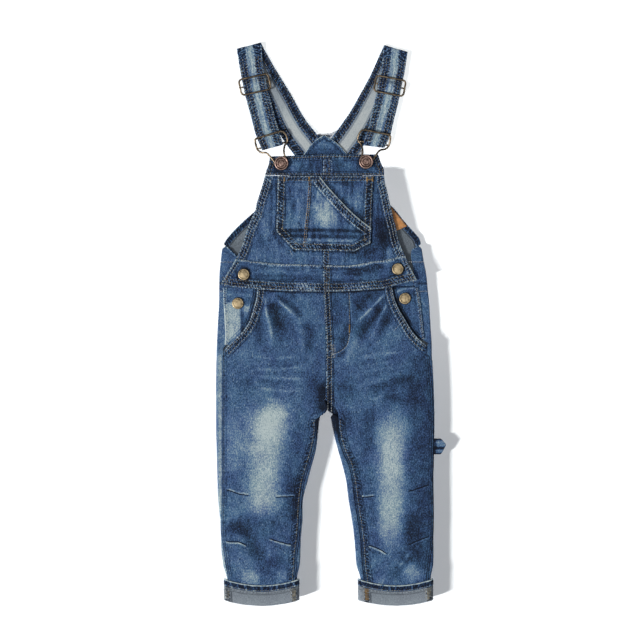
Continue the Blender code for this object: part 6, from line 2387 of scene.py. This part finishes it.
@dataclass
class Slider:
    """Wire slider: a round-cornered frame above the strap, and the bar beneath its hump."""

    name: str
    place: SliderPlace
    finish: Material
    gauge: float = 2.3
    corner: float = 4
    level: float = 3.4 + Strap.thickness + GAP + gauge / 2

    def frame(self) -> Array:
        """Return the middle line of the frame before it is turned."""
        x, y = self.place.length / 2 - self.corner, self.place.height / 2 - self.corner
        turn = np.radians(np.arange(0, 360, 90)[:, None] + np.linspace(0, 90, 8)).ravel()
        corners = np.repeat([(x, y), (-x, y), (-x, -y), (x, -y)], 8, 0)
        points = corners + self.corner * np.stack([np.cos(turn), np.sin(turn)], -1)
        return straight([*points, points[0]])[:-1]

    def placed(self, points: Array) -> Array:
        """Return plan points turned and moved to where the slider lies."""
        turned = points @ turning(self.place.angle) + (self.place.x, self.place.y)
        return np.column_stack([turned, np.full(len(points), self.level)])

    def build(self) -> None:
        """Build the frame with its middle bar."""
        reach = self.place.length / 2
        bar = self.placed(np.stack([np.linspace(-reach, reach, 12), np.zeros(12)], -1))
        add_wires(f"slider_{self.name}", (wire(self.placed(self.frame()), self.gauge / 2, Cap.NONE),
            wire(bar, self.gauge / 2 * 0.97)), self.finish)


class HookPoint(NamedTuple):
    """Place of a hook's wire outwards and up from its button's middle, and its height."""

    out: float
    up: float
    z: float


@dataclass
class Hook:
    """Wire hook: it carries the strap's end on a bar and loops round the button's post."""

    name: str
    finish: Material
    side: int
    turn: float = 0
    gauge: float = 2.3
    path: tuple[HookPoint, ...] = table(HookPoint, (30, 29.6, 8.3), (15.5, 34, 8.5),
        (0.8, 38.2, 8.3), (-4.6, 35, 7.4), (-7.2, 29, 5.8), (-6.4, 25.2, 4.7), (-3.6, 20.6, 5.4),
        (-3, 13, 8.3), (-4.9, 6, 8.3), (-6, -1, 8.3), (-2, -5.6, 8.3), (4.2, -4.4, 8.3),
        (9, 2.4, 8.3), (14.4, 9.2, 8.3), (18.6, 12.6, 7.4), (24, 13.2, 5), (28.4, 16.2, 4.4),
        (30.4, 21, 5.4), (31.4, 26, 7.4))
    bar: tuple[HookPoint, ...] = table(HookPoint, (29, 17.6, 4.4), (-6.6, 25.8, 4.4))

    def place(self, point: HookPoint) -> tuple[float, float, float]:
        """Return where a point of the hook lies beside its button."""
        plan = np.array((self.side * point.out, point.up)) @ turning(self.turn)
        return (*(plan + TACKS[self.name]), point.z)

    def build(self) -> None:
        """Build the hook's wire, and its bar with a coil at each end."""
        path = smooth_loop([self.place(p) for p in self.path])
        a, b = (np.array(self.place(p)) for p in self.bar)
        bar = a + (b - a) * np.linspace(0, 1, 12)[:, None]
        add_wires(f"hook_{self.name}", (wire(path, self.gauge / 2, Cap.NONE),
            wire(bar, self.gauge / 2 * 0.97)), self.finish)


# --- buttons and trim ----------------------------------------------------------------------


class Ring(NamedTuple):
    """A point of a turned profile: how far in from the rim, how high and how rubbed bright."""

    inset: float
    height: float
    worn: float


@dataclass
class Button:
    """A turned metal button, dark in its recesses and rubbed bright on its raised rings."""

    node_name: str
    x: float
    y: float
    base: float
    rings: tuple[Ring, ...]
    diameter: float
    finish: Material
    slot: Slot
    post: tuple[float, float] = (0, 0)  # radius and height of the post below the rings
    sides: int = 56
    hammered: float = 0.10

    def build(self) -> None:
        """Turn the profile and close its poles."""
        radius, height = self.post
        turned = [(self.diameter / 2 - ring.inset, height + ring.height, ring.worn)
            for ring in self.rings]
        knots = np.array([(radius, 0, -0.4), (radius, height, -0.4), *turned] if height else turned)
        reach = reaches(knots[:, :2])
        turn = np.linspace(0, 2 * math.pi, self.sides, endpoint=False)
        r, z = (knots[:, k][:, None] for k in (0, 1))
        x, y = self.x + r * np.cos(turn)[None], self.y + r * np.sin(turn)[None]
        top = smooth(reach[-1] * 0.45, reach[-1] * 0.6, reach)[:, None]
        z = self.base + z + self.hammered * random_field(x / 1.6, y / 1.6, Seed.HAMMERED) * top
        worn = knots[:, 2][:, None] + 0.25 * random_field(x / 2.2, y / 2.2, Seed.RUBBED_BUTTON)
        piece = add_piece(f"{self.node_name}_metal", np.dstack([x, y, z]), skin(*x.shape, Cap.PLUG),
            self.finish, self.slot, {"worn": worn})
        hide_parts(self.node_name)


TACK_RINGS = table(Ring, (1.2, 0, -0.4), (0.5, 0.15, -0.2), (0.1, 0.55, 0), (0, 0.95, 0.1),
    (0.15, 1.4, 0.25), (0.6, 1.8, 0.45), (1.1, 1.92, 0.45), (1.6, 1.8, 0.2), (2, 1.45, -0.25),
    (2.4, 1.35, -0.28), (2.9, 1.5, 0), (3.5, 1.68, 0.16), (4.2, 1.72, 0.12), (4.6, 1.58, -0.2),
    (5, 1.55, -0.22), (5.4, 1.7, 0.1), (6.2, 1.84, 0.22), (7.3, 1.88, 0.16), (8.1, 1.88, 0.12))
SIDE_RINGS = table(Ring, (1.4, 0, -0.4), (0.7, 0.08, -0.35), (0.15, 0.45, -0.15), (0, 0.9, 0),
    (0.15, 1.4, 0.15), (0.6, 1.8, 0.32), (1.1, 1.92, 0.3), (1.5, 1.84, 0.1), (1.8, 1.78, -0.08),
    (2.2, 1.84, 0.1), (2.8, 1.96, 0.26), (3.8, 2.08, 0.34), (4.8, 2.16, 0.34), (5.8, 2.2, 0.32),
    (6.6, 2.22, 0.3))


@dataclass
class Buttons:
    """Two tack buttons on posts, which hold the hooks, and four plain side buttons."""

    finishes: Finishes
    tack_base: float = Bib.band_base + Bib.band_thickness + GAP
    sides: tuple[tuple[str, float, float, float], ...] = (
        ("side_button_upper_right", -97.4, 59.4, 7.7), ("side_button_lower_right", -104.6, 24.8, 4.8),
        ("side_button_upper_left", 87.2, 66, 7.7), ("side_button_lower_left", 96, 30.6, 4.8))

    def build(self) -> None:
        """Build all six buttons."""
        for name, place in TACKS.items():
            Button(f"tack_button_{name}", *place, self.tack_base, TACK_RINGS, 17,
                self.finishes.copper, Slot.COPPER, (3, 2.6)).build()
        for name, *place in self.sides:
            Button(name, *place, SIDE_RINGS, 14, self.finishes.brass, Slot.BRASS).build()


@dataclass
class LeatherPatch:
    """Plain leather patch on the inside of the back, at the left armhole."""

    finishes: Finishes
    corner: tuple[float, float] = (98.6, 117.6)
    along: tuple[float, float] = (-22, 26.4)
    across: tuple[float, float] = (-20, -9)
    thickness: float = 1.4
    inset: float = 1.6

    def build(self) -> None:
        """Build the patch and the stitches round it."""
        a = np.array(self.corner)
        b, c = a + self.along, a + self.across
        d = c + self.along
        surface = Surface(lambda x, y: np.full(np.shape(x), CLOTH + GAP),
            (Mark(straight((c + 3, b - 3)), 6, height=0.2, flat=1),), thickness=self.thickness)
        Panel("leather_patch_hide", straight((c, d)), straight((a, b)), surface, self.finishes.leather,
            straight((c, a)), straight((d, b)), step=1.1, rim=0.7, slot=Slot.LEATHER,
            nodes=("leather_patch",), rests_on=("back_bib_cloth",)).build()
        middle = (a + d) / 2
        inner = [p + (middle - p) * 2 * self.inset / 30 for p in (a, b, d, c, a)]
        needle = Needle("leather_patch", self.finishes.threads)
        needle.sew((Row(straight(inner), Thread.TAN),), surface.top)
        needle.finish()


@dataclass
class HammerLoop:
    """Short tape sewn into the left outseam, folded out and back, with a slanted nose."""

    finishes: Finishes
    edge: float = 131.8
    reach: float = 13.8
    top: float = -137.6
    bottom: float = -156.4
    gap: float = 2  # between the tape's two layers, from middle to middle
    sewn_in: float = 1.6  # how far its ends reach into the outseam
    least: float = 0.52  # its reach at its edges, as a share of the whole
    nose: float = 0.62  # how far up its width it reaches furthest
    filled: float = 0.8  # share of its rectangle that the slanted nose leaves, about

    def build(self) -> None:
        """Build the tape as a hairpin that reaches furthest below its upper edge."""
        y = np.linspace(self.top, self.bottom, 18)
        place = (y - self.bottom) / (self.top - self.bottom)
        slope = np.where(place > self.nose, (1 - place) / (1 - self.nose), place / self.nose)
        nose = self.edge + self.reach * (self.least + (1 - self.least) * slope**0.8)
        nose[[0, -1]] -= 0.4
        turn = np.linspace(-math.pi / 2, math.pi / 2, 11)
        steps = np.linspace(0, 1, 10)[:-1]
        lines = []
        for radius in (self.gap / 2 + CLOTH / 2, self.gap / 2 - CLOTH / 2):
            tip = nose[:, None] - (self.gap + CLOTH) / 2
            start = self.edge - self.sewn_in
            low = start + (tip - start) * steps[None]
            x = np.hstack([low, tip + radius * np.cos(turn)[None], low[:, ::-1]])
            z = np.hstack([0 * low - radius, 0 * tip + radius * np.sin(turn)[None], 0 * low + radius])
            lines.append(np.dstack([x, np.repeat(y[:, None], x.shape[1], 1), z + LEG_HEIGHT / 2]))
        x, y = lines[0][..., 0], lines[0][..., 1]
        inset = np.minimum(self.top - y, y - self.bottom)
        share = (y - self.bottom) / (self.top - self.bottom)
        # darker in its crease, along its edges and where it goes into the seam: painted shade
        folds = bell(np.abs(share - 0.40), 0.03, 0.05) + bell(1 - share, 0.06, 0.06)
        folds += bell(share, 0.03, 0.05) + bell(np.abs(x - self.edge), 0.6, 1.4)
        paint = Paint(0 * x, 0.10 + 0.08 * smooth(0.5, 0.6, share) - 0.55 * folds,
            np.dstack([inset, x, 0 * x + 5]), np.broadcast_to((0.1, 0, 0.3), x.shape + (3,)))
        values = paint.values(0 * x, np.dstack([y, x, 0 * x]))
        piece = add_sheet("hammer_loop_tape", (lines[0], lines[1]), (values, values),
            self.finishes.denim)
        declare(Held.FOLDED, ("hammer_loop",))


# --- stage ---------------------------------------------------------------------------------


def add_light(name: str, kind: str, strength: float, lights: Collection) -> Object:
    """Add a light that shines on some objects only.

    Args:
        name: Its name.
        kind: SUN or AREA.
        strength: Its strength, or its power in watts.
        lights: What it lights.

    Returns:
        The new light.
    """
    light = bpy.data.objects.new(name, bpy.data.lights.new(name, kind))
    light.data.energy = strength
    light.light_linking.receiver_collection = lights
    bpy.context.scene.collection.objects.link(light)
    return light


@dataclass(frozen=True)
class Sun:
    """A sun, which stands this many degrees from overhead and round from +X."""

    strength: float
    overhead: float
    around: float
    size: float  # its angular size in degrees
    tint: str

    def add(self, name: str, lights: Collection) -> Object:
        """Add the sun for these objects and return it."""
        sun = add_light(name, "SUN", self.strength, lights)
        sun.data.angle = math.radians(self.size)
        sun.data.color = to_linear(self.tint)[:3]
        sun.rotation_euler = (0, math.radians(self.overhead), math.radians(self.around))
        return sun


@dataclass(frozen=True)
class Lamp:
    """A square lamp that shines straight down."""

    power: float  # watts
    size: float  # metres
    place: tuple[float, float, float]

    def add(self, name: str, lights: Collection) -> Object:
        """Add the lamp for these objects and return it."""
        lamp = add_light(name, "AREA", self.power, lights)
        lamp.data.size = self.size
        lamp.location = self.place
        return lamp


@dataclass
class Stage:
    """White floor, overhead camera, and daylight with one low source for the shadow."""

    floor_size: float = 8
    floor_level: float = -0.0003
    view: tuple[float, float] = (-6, 4.8)
    distance: float = 3
    lens: float = 140.4
    ambient: float = 0.10
    low_sun: Sun = Sun(10.6, 76.4, 201, 4.2, "#fdffff")
    strap_sun: Sun = Sun(1.9, 54, 201, 4, "#f4f8ff")
    key_sun: Sun = Sun(2.9, 48, 205, 14, "#fffdf8")
    softbox: Lamp = Lamp(19, 2.4, (0, 0, 2.6))
    fill: Lamp = Lamp(0.11, 0.1, tuple((SHIFT + (120, 95, 230)) * MM))

    def floor(self) -> Object:
        """Make the floor, just below the cloth, and return it."""
        half = self.floor_size / 2
        corners = [(x * half, y * half, self.floor_level)
            for x, y in ((-1, -1), (1, -1), (1, 1), (-1, 1))]
        mesh = bpy.data.meshes.new("floor")
        mesh.from_pydata(corners, [], [(0, 1, 2, 3)])
        # matt white painted board, with a trace of roller texture of about 20 mm
        recipe = Recipe("painted_board", Roughness=0.9)
        roller = recipe.grains(recipe.node("TexCoord", out="Object"), 0.02, 0.02)
        colour = recipe.node("ValToRGB", (roller,), stops=((0.3, "#f4f5f5"), (0.7, "#f6f6f6")))
        recipe.finish(colour, roller, 0, 0.1)
        mesh.materials.append(recipe.material)
        floor = bpy.data.objects.new("floor", mesh)
        bpy.context.scene.collection.objects.link(floor)
        return floor

    def group(self, name: str, members: Sequence[Object], exclude: bool = False) -> Collection:
        """Group objects for light linking.

        Args:
            name: Name of the group.
            members: The objects.
            exclude: Whether the group means all but them.

        Returns:
            The group.
        """
        made = bpy.data.collections.new(name)
        for member in members:
            made.objects.link(member)
        for entry in made.collection_objects:
            entry.light_linking.link_state = "EXCLUDE" if exclude else "INCLUDE"
        return made

    def light(self, floor: Object) -> None:
        """Light the stage.

        Two suns light the floor alone. The body of the garment blocks the lower one and its
        straps the higher one, as they lie lower. A small lamp without shadows lightens the
        shadow beside the bib. The other lights leave the floor out.

        Args:
            floor: The floor.
        """
        straps = [o for o in bpy.data.objects if o.name.startswith("strap")]
        low_lying = [o for o in bpy.data.objects if o.name.endswith("_thread")
            or o.name.startswith(("strap", "slider", "hook", "cuff", "tack", "bib_band"))]
        only, rest = self.group("floor_only", [floor]), self.group("but_floor", [floor], True)
        low = self.low_sun.add("low_sun", only)
        low.light_linking.blocker_collection = self.group("but_straps", low_lying, True)
        high = self.strap_sun.add("strap_sun", only)
        high.light_linking.blocker_collection = self.group("straps", straps)
        self.key_sun.add("key_sun", rest)
        self.softbox.add("softbox", rest)
        self.fill.add("fill", only).light_linking.blocker_collection = only

    def build(self) -> None:
        """Build the floor, the lights, the background and the camera."""
        scene = bpy.context.scene
        self.light(self.floor())
        scene.world = bpy.data.worlds.new("studio")
        scene.world.use_nodes = True
        back = scene.world.node_tree.nodes["Background"]
        back.inputs["Color"].default_value = to_linear("#eef3f6")
        back.inputs["Strength"].default_value = self.ambient
        scene.view_settings.view_transform = "Standard"
        camera = bpy.data.cameras.new("camera")
        camera.lens, camera.clip_start, camera.clip_end = self.lens, 0.1, 20
        eye = bpy.data.objects.new("camera", camera)
        eye.location = (*((SHIFT[:2] + self.view) * MM), self.distance)
        scene.collection.objects.link(eye)
        scene.camera = eye


def main() -> None:
    logging.basicConfig(level=logging.INFO, format="%(message)s")
    finishes = Finishes()
    for leg in (RIGHT_LEG, LEFT_LEG):
        Backs(finishes.denim).build(leg)
    BackBody(finishes.denim).build()
    for leg, dress, marks, tone in ((RIGHT_LEG, RIGHT_DRESS, RIGHT_FACING, 0.02),
            (LEFT_LEG, LEFT_DRESS, LEFT_FACING, -0.10)):
        HipFacings(finishes).build(leg, marks, tone)
        FrontLegs(finishes).build(leg, dress)
    Bib(finishes).build()
    Waistband(finishes).build()
    ChestPocket(finishes).build()
    Cuffs(finishes).build()
    for cut in STRAPS:
        Strap(cut, finishes).build()
        Slider(cut.name, cut.slider, finishes.wire).build()
    Hook("right", finishes.wire, -1).build()
    Hook("left", finishes.wire, 1, 5).build()
    Buttons(finishes).build()
    LeatherPatch(finishes).build()
    HammerLoop(finishes).build()
    Stage().build()


if __name__ == "__main__":
    main()
